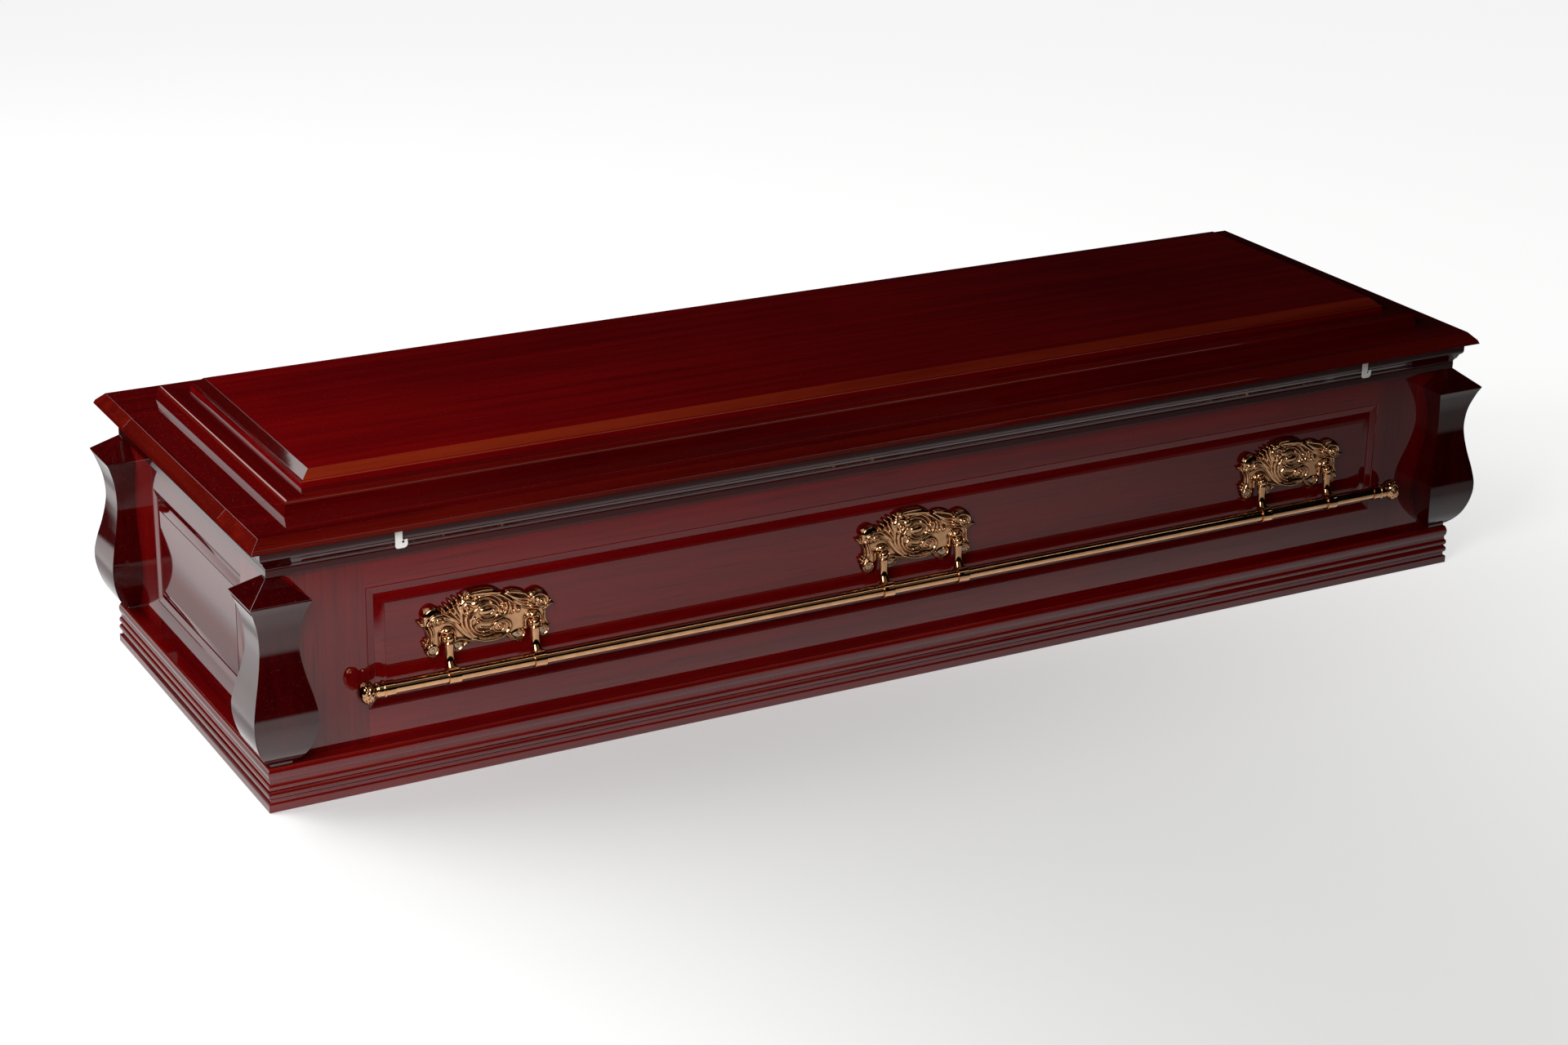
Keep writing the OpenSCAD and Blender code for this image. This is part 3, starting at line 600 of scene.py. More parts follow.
# x, z, half sizes in x and z, rise, power
PLATE_MASSES = [
    (-84, 244, 18, 17.5, 8.5, 0.5), (79.5, 242, 18, 17, 8, 0.5), (-2, 234, 44, 33, 3.2, 1),
    (-4, 267, 34, 8, 3.5, 0.6), (48, 249, 24, 14, 2.8, 0.8), (-46, 247, 26, 19, 2.4, 0.8),
    (4, 192, 36, 7, 2, 0.6), (-26, 253, 15, 15, 2.4, 0.7), (-85, 190, 11, 9, 1.2, 0.5),
    (-44, 190.5, 9, 8, 1.2, 0.5), (47, 190, 10, 8, 1.2, 0.5), (88, 190, 9, 9, 1.2, 0.5),
    (19, 209, 11, 10, 1.6, 0.6)]
PLATE_STROKES = [
    # crest roll and its lower rims
    (4.2, [(-33, 264, 1.5), (-26, 268, 3.2), (-14, 267.5, 4.6), (-2, 267, 5), (8, 265.5, 4.6),
        (18, 261, 3.8), (27, 255, 2.8), (36, 247.5, 1.9), (44, 239, 1.2)]),
    (2.4, [(-15, 259, 0.9), (-6, 261.5, 1.4), (4, 261, 1.5), (13, 257.5, 1.5), (21, 251, 1.5),
        (26, 244.5, 1.5)]),
    (2, [(-10, 256, 0.8), (-2, 257.5, 1.1), (8, 254, 1.2), (15, 248.5, 1.2), (19, 242, 1.1)]),
    (2.6, [(29, 244, 1.4), (31, 237, 1.5), (29, 230, 1.5), (24, 226.5, 1.5), (20, 228, 1.4)]),
    # right leaf
    (2.6, [(28, 257, 1.6), (37, 249.5, 1.8), (46, 241, 1.8), (55, 233.5, 1.7), (65, 229, 1.6),
        (76, 226.8, 1.6), (88, 228, 1.7), (95, 232.5, 1.6), (98.5, 236.5, 1)]),
    (2.8, [(31, 258, 1.8), (40, 252.5, 2.2), (50, 248, 2.2), (59, 245.5, 1.8), (66, 241, 1.2)]),
    (3, [(33, 260, 1.6), (42, 259, 2.8), (52, 256.5, 2.8), (60, 253, 2.2), (63, 249, 1.6)]),
    (2.4, [(38, 252, 1), (47, 246, 1.6), (57, 240.5, 1.7), (66, 236.5, 1.4), (71, 233.5, 0.9)]),
    (2.4, [(43, 246, 1), (52, 239, 1.6), (60, 234.5, 1.5), (68, 232, 1.2)]),
    (2.2, [(36, 247, 1), (42, 238, 1.8), (46, 231, 2.2), (49, 227, 2)]),
    (2.2, [(34, 244, 1), (37, 236, 1.6), (38, 229.5, 2.2), (39.5, 226, 1.6)]),
    # right boss spiral
    (2.6, [(66, 243, 0.9), (70, 249, 1.4), (78, 251.5, 1.7), (87, 248.5, 1.8), (92, 241.5, 1.8),
        (90, 234, 1.7), (83, 230.5, 1.6), (76, 233, 1.5), (73.5, 239, 1.4), (77, 244, 1.3),
        (84, 244.5, 1.3), (87, 239.5, 1.2), (83.5, 236, 1.1)]),
    # left boss rim, flowing down into the long S of the belly and its volute
    (2.6, [(-95, 236, 1), (-92, 242, 1.6), (-84, 247, 1.8), (-74, 248, 1.9), (-64, 245, 1.9),
        (-55, 238, 1.8), (-46, 227, 1.8), (-38, 215.5, 1.8), (-30, 205.5, 1.8), (-20, 197.5, 1.9),
        (-8, 192, 2.2), (5, 189.8, 2.6), (17, 190.3, 2.6), (27, 193.5, 2.3), (34.5, 199, 2),
        (37, 206, 1.8), (34, 213, 1.7), (27, 217.5, 1.6), (18, 217.5, 1.5), (11, 213.5, 1.5),
        (9, 207.5, 1.4), (13, 202, 1.4), (20, 200.5, 1.4), (26, 204, 1.3), (26.5, 209.5, 1.2),
        (22, 211.5, 1)]),
    (2.2, [(-66, 240, 0.9), (-58, 236.5, 1.4), (-50, 230.5, 1.5), (-42, 220, 1.5), (-34, 209, 1.5),
        (-25, 200, 1.4), (-14, 193.5, 1.2), (-3, 190.5, 0.9)]),
    (2, [(-72, 229, 0.7), (-62, 230.5, 1.2), (-53, 228.5, 1.3), (-46, 221.5, 1.3),
        (-39, 211.5, 1.3), (-31, 203.5, 1.3), (-23, 197.5, 1.2), (-13, 192, 0.8)]),
    (2, [(-88, 236, 0.9), (-84, 230.5, 1.3), (-78, 228.5, 1.5), (-71, 231, 1.4), (-69, 237, 1.3),
        (-72, 242, 1.1)]),
    (2.6, [(-89, 241, 1), (-82, 243.5, 1.6), (-75, 242.5, 1.5), (-70.5, 238.5, 1.1)]),
    (2.4, [(-69, 233, 0.9), (-62, 234.5, 2.2), (-54, 232, 1.4), (-50, 229, 0.7)]),
    # flowing ribs of the middle
    (2.6, [(-22, 248, 0.8), (-29, 238, 1.6), (-31.5, 226, 2), (-28, 212.5, 2), (-19, 201.5, 1.9),
        (-7, 195.5, 1.6), (8, 194, 1.2), (22, 195.5, 0.8)]),
    (2.4, [(-38, 240, 0.8), (-38.5, 230, 1.6), (-36, 219, 1.8), (-29, 207.5, 1.6),
        (-20, 199.5, 1.2), (-11, 195, 0.8)]),
    (2.6, [(-19, 240, 1), (-24, 229, 1.6), (-23.5, 215, 1.8), (-15.5, 204.5, 1.7), (-4, 199.3, 1.5),
        (7, 199, 1.1)]),
    (2.4, [(-14, 221, 1.4), (-17.5, 214, 1.5), (-13, 207.5, 1.5), (-5, 204.5, 1.9), (3, 205, 1.7),
        (7, 207, 1)]),
    (2.8, [(-22, 227, 1), (-20, 236.5, 1.7), (-11, 245, 1.9), (1, 248.5, 2), (12, 245, 2),
        (18, 237, 1.9), (16, 228.5, 1.6), (8, 223.8, 1.5), (-2, 223.3, 1.4), (-9, 226.5, 1.1)]),
    (2, [(-10, 221.5, 0.9), (1, 219.3, 1.4), (13, 220, 1.4), (24, 223, 1.3), (34, 227, 1)]),
    (1.8, [(-9, 212, 0.9), (0, 209.6, 1.3), (7, 209, 0.9)]),
    (1.8, [(11, 236.5, 0.9), (5, 230.5, 1.3), (-4, 230.5, 1.3), (-10, 235, 0.9)]),
    # acanthus of the crest's left end
    (3.6, [(-31, 236, 1.4), (-38, 244, 2.4), (-39, 253, 3.2), (-32, 259.5, 3.2), (-23, 257.5, 2.8),
        (-16, 252, 2.2)]),
    (3, [(-30, 243, 1.2), (-34, 250, 1.8), (-30, 255, 1.8), (-24, 252, 1.4)]),
    (2.4, [(-37, 228, 0.9), (-39, 240, 1.5), (-43, 252, 1.9), (-45, 261, 1.4)]),
    (2.4, [(-38, 227, 0.9), (-42, 238, 1.5), (-48, 249, 1.8), (-52, 257.5, 1.3)]),
    (2.4, [(-39, 226, 0.9), (-46, 236, 1.5), (-53, 245.5, 1.8), (-58, 253, 1.3)]),
    (2.2, [(-41, 225, 0.9), (-49, 233, 1.4), (-57, 241.5, 1.7), (-63, 248.5, 1.2)]),
    (2.2, [(-33, 246, 0.9), (-36, 254, 1.4), (-37, 262, 1.4)]),
    # left edge reeds and lobe rims
    (2.2, [(-93, 229, 1.2), (-88.5, 222, 1.4), (-86, 213, 1.4), (-86.5, 204.5, 1.4),
        (-90.5, 197, 1.5), (-94, 190, 1.6), (-91.5, 184, 1.6), (-85, 181.8, 1.6), (-77.5, 184, 1.5),
        (-73.5, 189, 1.3), (-76, 193, 0.9)]),
    (1.8, [(-86, 226, 0.8), (-82.8, 219, 1.1), (-82, 211.5, 1.1), (-83.5, 203, 1.1),
        (-87, 197.5, 0.9)]),
    (1.8, [(-97, 227, 0.9), (-93, 219.5, 1.2), (-91.7, 210.5, 1.2), (-94, 202, 1.2),
        (-97.5, 196, 1.3)]),
    (2.2, [(-50, 196.5, 1.2), (-43, 199.8, 1.5), (-35, 198.5, 1.6), (-25, 195, 1.5),
        (-14, 190.5, 1.2)]),
    (2.2, [(-51, 190, 0.9), (-48.5, 185, 1.4), (-43, 183.5, 1.6), (-37, 187, 1.5),
        (-31, 190.8, 1.3), (-26, 191, 0.9)]),
    (2, [(-38, 193.5, 0.8), (-33, 194.5, 1.2), (-28, 192.8, 0.8)]),
    (2.2, [(30, 195.5, 0.9), (34, 189.5, 1.5), (40, 184.5, 1.6), (48, 183, 1.5), (55.5, 185.5, 1.5),
        (58.5, 190.5, 1.3), (56, 195.5, 1.1), (50, 196.5, 0.9)]),
    (1.8, [(36, 193, 0.8), (38.5, 188.5, 1.2), (42, 186.5, 0.8)]),
    (2.2, [(84, 197, 0.8), (89.5, 196.5, 1.2), (94.5, 191.5, 1.5), (93, 185.5, 1.6), (87, 182, 1.5),
        (81.5, 184.5, 1.1)]),
    (2, [(88, 222, 0.8), (92.5, 225.5, 1.4), (98, 228.5, 2), (104, 228.5, 1.2)]),
    (1.8, [(90, 220, 0.8), (89.5, 211.5, 1.1), (91.5, 203, 1.4), (97, 196, 1)]),
    # hoods over the arm sockets
    (4, [(-71.5, 198, 1.4), (-71.5, 209, 1.9), (-67.5, 217, 2.2), (-60, 220.5, 2.3),
        (-52.5, 217, 2.2), (-48.5, 209, 1.9), (-48, 198, 1.4)]),
    (4, [(59.5, 198, 1.4), (59.5, 211, 1.8), (63, 219, 2.1), (71, 221.5, 2.3), (79, 218, 2.2),
        (82.5, 209, 1.9), (83, 198, 1.4)]),
]
# x, z, radius, rise
PLATE_BALLS = [
    (-100.5, 233.5, 3.9, 3.6), (-95.5, 232, 3.8, 3.8), (-103.5, 236, 2.6, 3), (-96.5, 201, 3.2, 3),
    (-94, 205.5, 2.4, 2.6), (-66, 233, 3.2, 3.2), (-46, 262.8, 2.6, 2.8), (-53, 259.5, 2.5, 2.6),
    (-59.5, 255, 2.5, 2.6), (-64.5, 250.5, 2.4, 2.4), (-47.5, 243, 2, 2.2), (-36.5, 264, 3, 3),
    (-29, 262.5, 2.4, 2.6), (-22, 264.5, 2.2, 2.4), (-30.5, 249, 2.5, 2.8), (-31.5, 244, 2.1, 2.6),
    (-30, 239.5, 3.1, 3.4), (24, 241, 3.3, 3.4), (22.5, 232, 3.2, 3.2), (-19, 228.5, 2.4, 2.6),
    (-14, 226, 2, 2.4), (35, 229.5, 2.2, 2.2), (43, 228, 2.4, 2.2), (50.5, 228.5, 2.2, 2),
    (-4.5, 204.5, 2.2, 2.6), (6.5, 249.5, 2.4, 2.4), (81.5, 239.5, 3.6, 2.6), (66.5, 246, 2.2, 2.2),
    (61, 251.5, 2.4, 2.4), (19.5, 208, 2.4, 2), (-77, 237, 5.2, 3), (-50.5, 251.5, 2.2, 2.4),
    (-56, 247, 2.2, 2.4), (-43, 255.5, 2.3, 2.6), (-40, 248.5, 2.2, 2.4), (-46.5, 237, 1.9, 2),
    (-17.5, 252, 6.4, 4.6), (-26, 268, 2.2, 2.4), (-17, 261, 2.1, 2.4), (-25.5, 247, 2.1, 2.4)]
# x, z, half sizes, rise: the smooth cabochon
PLATE_STONE = (-0.5, 238, 10.5, 6.2, 3.6)
SCREWS = [(-81.5, 189.0), (-44.5, 189.0), (46.5, 188.8), (86.5, 188.4)]
SCREW_R, SCREW_TURN = 3.5, 0.6
CELL = 0.55
BASE = 5.6
EDGE_ROUND = 2.2
NEAR = 6.0
# Strokes and balls are drawn a little fuller than their rows say
FULLER, FULLER_BALL = 1.28, 1.18


def span_distance(x, z, a, b):
    """Distance of each point from each straight span a to b, and how far along it is."""
    d = b[:, :2] - a[:, :2]
    px, pz = x[:, None] - a[None, :, 0], z[:, None] - a[None, :, 1]
    t = np.clip((px * d[:, 0] + pz * d[:, 1]) / (d ** 2).sum(1), 0.0, 1.0)
    return np.hypot(px - t * d[:, 0], pz - t * d[:, 1]), t


def stroke_field(x, z, rows):
    """Distance past a tapering stroke's edge, and how far out from its middle.

    The stroke's middle is a Catmull-Rom line; each grid point takes the
    nearest of its short straight spans. The second value is 1 at the edge.
    """
    line = catmull(rows, 7)
    line[:, 2] = line[:, 2] * FULLER + 0.2
    a, b = line[:-1], line[1:]
    away, t = span_distance(x, z, a, b)
    r = a[:, 2] + t * (b[:, 2] - a[:, 2])
    best = np.argmin(away - r, 1)
    pick = np.arange(len(x))
    return (away - r)[pick, best], (away / r)[pick, best]


def near(x, z, rows):
    """Grid points inside the box round some rows, a little widened."""
    r = np.asarray(rows, float)
    return ((x > r[:, 0].min() - NEAR) & (x < r[:, 0].max() + NEAR)
            & (z > r[:, 1].min() - NEAR) & (z < r[:, 1].max() + NEAR))


def ease(value, low, high):
    """A smooth step from 0 to 1, as 3t^2 - 2t^3."""
    t = np.clip((value - low) / (high - low), 0, 1)
    return t * t * (3 - 2 * t)


def settled(x, z):
    """Where on the drawn rows a point of the finished casting lies.

    The casting sits a little lower than its rows, its crest and end bosses
    lower still, and its left end is drawn in towards the middle.
    """
    crest = ease(z, 205.0, 245.0)
    return x - 4.2 * ease(-x, 66.0, 88.0), z + 1.2 + crest * (1.9 + 0.7 * ease(np.abs(x), 50.0, 72.0))


def plate_relief(x, z):
    """Height, detail and edge distance of the cast plate at points x, z.

    The height is the sum of low oval masses. The detail on it is the highest
    stroke, ball or shell at each point, each a rounded section; the edge
    distance is the least of all the outlines.
    """
    outline = catmull(PLATE_OUTLINE + PLATE_OUTLINE[:1], 6)[:-1]
    nxt = np.roll(outline, -1, 0)
    at_x, at_z = x, z
    x, z = settled(x, z)
    edge = span_distance(x, z, outline, nxt)[0].min(1)
    # A point is inside when a line from it crosses the outline an odd number of times
    d = nxt - outline
    crossing = (outline[:, 1] > z[:, None]) != (nxt[:, 1] > z[:, None])
    rise = np.where(d[:, 1] == 0, 1e-9, d[:, 1])
    at = d[:, 0] * (z[:, None] - outline[:, 1]) / rise + outline[:, 0]
    inside = (crossing & (x[:, None] < at)).sum(1) % 2 == 1
    edge = np.where(inside, -edge, edge)
    height = np.zeros_like(x)
    for mx, mz, sx, sz, rise, power in PLATE_MASSES:
        rho = ((x - mx) / sx) ** 2 + ((z - mz) / sz) ** 2
        height = height + rise * np.clip(1 - rho, 0, 1) ** power
    detail = np.zeros_like(x)
    for rise, rows in PLATE_STROKES:
        m = near(x, z, rows)
        gap, ratio = stroke_field(x[m], z[m], rows)
        detail[m] = np.maximum(detail[m], rise * np.clip(1 - ratio ** 2, 0, 1))
        edge[m] = np.minimum(edge[m], gap)
    for bx, bz, r, rise in PLATE_BALLS:
        away = np.hypot(x - bx, z - bz)
        r = r * FULLER_BALL
        detail = np.maximum(detail, (rise + 1.4) * np.clip(1 - (away / r) ** 2, 0, 1) ** 0.75)
        edge = np.minimum(edge, away - r)
    sx, sz, hx, hz, rise = PLATE_STONE
    rho = ((x - sx) / hx) ** 2 + ((z - sz) / hz) ** 2
    detail = np.maximum(detail, rise * np.sqrt(np.clip(1 - rho, 0, 1)))
    # Over each arm a domed shell: one ball form stands on a wider ring
    for ax in ARM_X:
        for cz, r, rise in ((209.5, 11.5, 4.0), (214.0, 7.4, 8.0)):
            rho = ((at_x - ax) ** 2 + (at_z - cz) ** 2) / r ** 2
            detail = np.maximum(detail, rise * np.sqrt(np.clip(1 - rho, 0, 1)))
    return height, detail, edge


def in_strips(x, z):
    """plate_relief a strip of points at a time, to spare memory."""
    parts = [plate_relief(a, b) for a, b in zip(np.array_split(x, 8), np.array_split(z, 8))]
    return [np.concatenate(values) for values in zip(*parts)]


def plate_mesh():
    """Points, faces and hollows of one plate about its own middle, facing -Y.

    A grid over the plate keeps its cells inside the outline; points just
    outside slide onto it along the distance's slope, the border drops to
    the back, and the relief rises from it with a rounded edge.
    """
    xs = np.arange(-108.0, 106.5, CELL)
    zs = np.arange(178.5, 273.5, CELL)
    gx, gz = np.meshgrid(xs, zs, indexing="ij")
    e = in_strips(gx.ravel(), gz.ravel())[2].reshape(gx.shape)
    sx, sz = np.gradient(e, CELL)
    size = np.maximum(np.hypot(sx, sz), 0.3)
    close = np.abs(e) < 0.75 * CELL
    gx = np.where(close, gx - e * sx / size ** 2, gx)
    gz = np.where(close, gz - e * sz / size ** 2, gz)
    kept_point = (e < 0) | close
    rows, columns = gx.shape
    quads = grid_faces(rows, columns)
    quads = quads[kept_point.ravel()[quads].all(1)]
    used = np.unique(quads)
    order = -np.ones(rows * columns, int)
    order[used] = np.arange(len(used))
    quads = order[quads]
    x, z = gx.ravel()[used], gz.ravel()[used]
    height, detail, edge = in_strips(x, z)
    # The border is the sides that belong to one quad only
    sides = np.concatenate([quads[:, [0, 1]], quads[:, [1, 2]], quads[:, [2, 3]], quads[:, [3, 0]]])
    _, where, count = np.unique(np.sort(sides, 1), axis=0, return_inverse=True, return_counts=True)
    border = sides[count[where.ravel()] == 1]
    rim = np.unique(border)
    inset = np.clip(-edge, 0, EDGE_ROUND) / EDGE_ROUND
    round_edge = np.sqrt(np.clip(1 - (1 - inset) ** 2, 0, 1))
    level = BASE * (0.45 + 0.55 * round_edge) + (height + detail) * np.maximum(round_edge, 0.15)
    back = -np.ones(len(x), int)
    back[rim] = len(x) + np.arange(len(rim))
    points = np.stack([x, -level, z], 1)
    points = np.concatenate([points, np.stack([x[rim], 0 * rim, z[rim]], 1)])
    walls = np.stack([border[:, 1], border[:, 0], back[border[:, 0]], back[border[:, 1]]], 1)
    hollow = np.clip(1.0 - detail / 1.6, 0, 1) * carved(x, z)
    return points, quads.tolist() + walls.tolist(), np.concatenate([hollow, np.ones(len(rim))])


def carved(x, z):
    """How carved a place is: 1 among the strokes, low on the plain fields."""
    busy = np.zeros_like(x)
    x, z = settled(x, z)
    for _, rows in PLATE_STROKES:
        m = near(x, z, rows)
        gap, _ = stroke_field(x[m], z[m], rows)
        busy[m] += np.clip(1 - np.abs(gap) / 3.2, 0, 1) * 0.75
    return np.clip(busy, 0, 1) ** 1.2


# The radius of a turned shape at its poles
POLE_R = 0.01


def circle(steps):
    """Angles round a full turn."""
    return np.linspace(0, 2 * math.pi, steps, endpoint=False)


def revolve(profile, steps, centre):
    """A turned shape: rows of [distance along X, radius] swept round a centre."""
    p = np.asarray(profile, float)
    t = circle(steps)
    ring = np.stack([0 * t, -np.cos(t), -np.sin(t)], 1)
    return tube(np.asarray(centre, float) + p[:, None, :1] * (1, 0, 0) + p[:, None, 1:] * ring[None])


def joined(parts):
    """Several (points, faces) as one."""
    points, faces, start = [], [], 0
    for p, f in parts:
        points.append(p)
        faces += [[i + start for i in row] for row in f]
        start += len(p)
    return np.concatenate(points), faces


plate_points, plate_faces, plate_hollow = plate_mesh()

# Knuckles of the hinge: paired turned beads on each side of the arm's eye
KNUCKLE = [
    [6.5, 0], [6.5, 3.9], [6.8, 4.8], [7.4, 5.2], [8.3, 4.9], [9.2, 4], [9.8, 2.6], [10, 0]]


PIN_OUT = HINGE[0] - FIELD_Y


def knuckles(ax):
    """Two turned beads and the web that carries each back to the plate.

    A web is an oval section that narrows from the plate out to the bead.
    """
    parts = []
    t, a = np.linspace(0, 1, 7)[:, None], circle(20)[None]
    for hand in (-1, 1):
        bead = [[hand * s, max(r, POLE_R)] for s, r in KNUCKLE]
        parts.append(revolve(bead, 28, (ax, PIN_OUT, HINGE[1])))
        y = -1.5 + (PIN_OUT + 1.5) * t
        half_x, half_z = 1.4 + 0 * t, 6.6 - 2.4 * t
        parts.append(tube(np.stack([ax + hand * 8.2 + half_x * np.cos(a), y + 0 * a,
                                    HINGE[1] + half_z * np.sin(a)], -1)))
    return parts


def copper_piece(name, shape, side, shift=(0, 0, 0), body="casket", replaces=(), hollow=0.0,
                 sharp=SHARP):
    """A copper piece made for the front, shifted and turned to its side."""
    points, faces = shape
    hollow = np.broadcast_to(hollow, len(points))
    return piece(name, turned(points + np.asarray(shift), side), faces, copper_metal, "handle_copper",
                 body, replaces, hollow, sharp)


def handle_plate(side, word, px):
    tail = "_%s_%s" % (SIDES[side], word)
    shift = (px, FIELD_Y, 0.0)
    obj = copper_piece("cast_plate" + tail, (plate_points, plate_faces), side, shift, "casket",
                       ["%s_plate_%s" % (SIDES[side], word)], plate_hollow, CAST_SHARP)
    with editing(obj.data) as bm:
        bmesh.ops.holes_fill(bm, edges=[e for e in bm.edges if e.is_boundary], sides=0)
        bmesh.ops.recalc_face_normals(bm, faces=bm.faces[:])
    shape = joined([part for ax in ARM_X for part in knuckles(ax)])
    copper_piece("hinge_knuckles" + tail, shape, side, shift, hollow=0.25)
    points, faces = joined([screw(sx, sz) for sx, sz in SCREWS])
    piece("plate_screws" + tail, turned(points + np.asarray(shift), side), faces, steel,
          "handle_copper", "casket")


def screw(sx, sz):
    """A domed screw head with a cross recess, as a height over a round grid.

    Rings of points rise as a dome and sink inside a four-armed cross.
    """
    r, a = np.linspace(0, 1, 15)[:, None], circle(48)[None]
    x, z = SCREW_R * r * np.cos(a), SCREW_R * r * np.sin(a)
    dome = 0.9 * np.sqrt(np.clip(1 - 0.92 * r ** 2, 0, 1))
    cos, sin = math.cos(SCREW_TURN), math.sin(SCREW_TURN)
    arm = np.minimum(np.abs(x * cos + z * sin), np.abs(-x * sin + z * cos))
    cross = np.clip((0.75 - arm) / 0.3, 0, 1) * np.clip((2.1 - SCREW_R * r) / 0.4, 0, 1)
    level = BASE + 1.1 + dome - 1.1 * cross
    head = np.stack([sx + x, -level + 0 * a, sz + z], -1)
    skirt = head[-1:] * (1, 0, 1) - (0, 3.0, 0)
    points, faces = tube(np.concatenate([head, skirt]))
    faces.pop(-2)
    return points, faces


# ---------------------------------------------------------------- arms, bar and caps
# Height, distance from the face, half width, half depth, down from the pin to the bar
ARM = [
    [204, -322.8, 4.6, 4.6], [200.8, -322.8, 6.4, 5.8], [199.2, -322.8, 7.4, 6.6],
    [197.4, -322.8, 6.9, 5.9], [190, -322.9, 6.2, 5.5], [181, -323.2, 5.9, 5.4],
    [174, -324.6, 6.2, 6], [168, -327.2, 7.3, 7.4], [162, -330.6, 8.6, 9.2],
    [157.5, -333.2, 9.1, 10.4], [154, -334.6, 8.9, 9.6]]
EYE_R = 6.7
# The collar as [distance along the bar, height over its face], for one half
COLLAR = [[9.2, 0.06], [9.4, 1.4], [9.0, 2.5], [8.2, 2.7], [7, 2.5]]


def swing_arm(x):
    """One arm: an eye on the pin, a waisted neck, a flared foot and a collar.

    The neck and foot are one tube whose half width and half depth follow
    Catmull-Rom lines down the line from the pin to the bar; its section is
    a superellipse, so the neck reads as a soft-cornered strap. The eye is a
    ball cut flat at both sides, and the collar a sleeve with rolled rims.
    """
    rows = catmull(ARM, 5)
    power = 0.85
    cos, sin = np.cos(circle(40)), np.sin(circle(40))
    cx, cy = np.sign(cos) * np.abs(cos) ** power, np.sign(sin) * np.abs(sin) ** power
    z, y, half_x, half_y = rows.T[:, :, None]
    strap = tube(np.stack([half_x * cx, y - half_y * cy, z + 0 * cx], -1))
    swing = np.radians(np.linspace(-64, 64, 17))
    ball = np.stack([EYE_R * np.sin(swing), EYE_R * np.cos(swing)], 1).tolist()
    eye = revolve([[-6, POLE_R]] + ball + [[6, POLE_R]], 36, (0.0, *HINGE))
    half = [[s, BAR_R + r] for s, r in COLLAR]
    rim = [[-s, r] for s, r in half] + [[0, BAR_R + 2.4]] + half[::-1]
    sleeve, faces = revolve(rim, 56, (0.0, *BAR))
    # In place of its two end faces the sleeve gets its bore
    start, end = (np.array(row) for row in faces[-2:])
    bore = np.stack([start, np.roll(start, -1), np.roll(end, -1), end], 1)
    points, faces = joined([strap, eye, (sleeve, faces[:-2] + bore.tolist())])
    return points + np.array([x, 0.0, 0.0]), faces


# The cap as [distance from its tip, radius]
CAP = [
    [0, 0.01], [0.4, 4], [1.4, 7.6], [3, 10.6], [5.2, 13], [7.8, 14.6], [10.6, 15.5], [13.6, 15.5],
    [16.8, 14.8], [19.6, 13.4], [22, 11.6], [24.2, 10], [25.4, 9.6], [26.6, 9.9], [28, 10.9],
    [29.2, 11.2], [30.4, 10.9], [35.8, 10.9], [36.2, 11.6], [36.8, 12.4], [38, 12.6], [39.2, 12.4],
    [39.9, 11.5], [40.4, 11.1], [52.2, 11.1], [52.9, 10.7], [53, CAP_BORE_R]]
CAP_BORE_END = 36.0


def end_cap(hand):
    """A turned cap whose bulb is carved into a lattice of leaves.

    Behind a smooth tip the radius swells with two sets of cosine ridges that
    twist opposite ways and cross, and with rows of beads between them.
    """
    line = catmull(CAP, 5)
    line[:, 1] = np.maximum(line[:, 1], POLE_R)
    steps = 96
    a = circle(steps)[None]
    s, r = line[:, :1], line[:, 1:]
    swell = ease(s, 6.0, 9.0) * ease(-s, -23.5, -19.0)
    leaf = np.abs(np.cos(5 * a + 0.30 * s)) ** 0.7
    second = np.abs(np.cos(5 * a - 0.30 * s + 0.9)) ** 0.7
    beads = 0.5 + 0.5 * np.cos(10 * a) * np.cos(1.25 * s)
    carving = np.maximum(leaf, second) * 0.75 + beads * 0.45
    radius = r + swell * (-1.5 + 2.6 * carving)
    # The bore ends the grid, and the tip keeps a darker patina
    s = np.concatenate([s, [[CAP_BORE_END]]])
    radius = np.concatenate([radius, np.full((1, steps), CAP_BORE_R)])
    hollow = np.clip(swell * (1 - carving) * 1.8, 0, 1) + 0.30 * (1 - ease(s[:-1], 5.5, 7.5))
    tip = BAR_ENDS[0] if hand < 0 else BAR_ENDS[1]
    shape = tube(np.stack([tip - hand * (s + 0 * a), BAR[0] + radius * np.cos(a),
                           BAR[1] + radius * np.sin(a)], -1))
    return shape, np.concatenate([hollow.ravel(), np.ones(steps)])


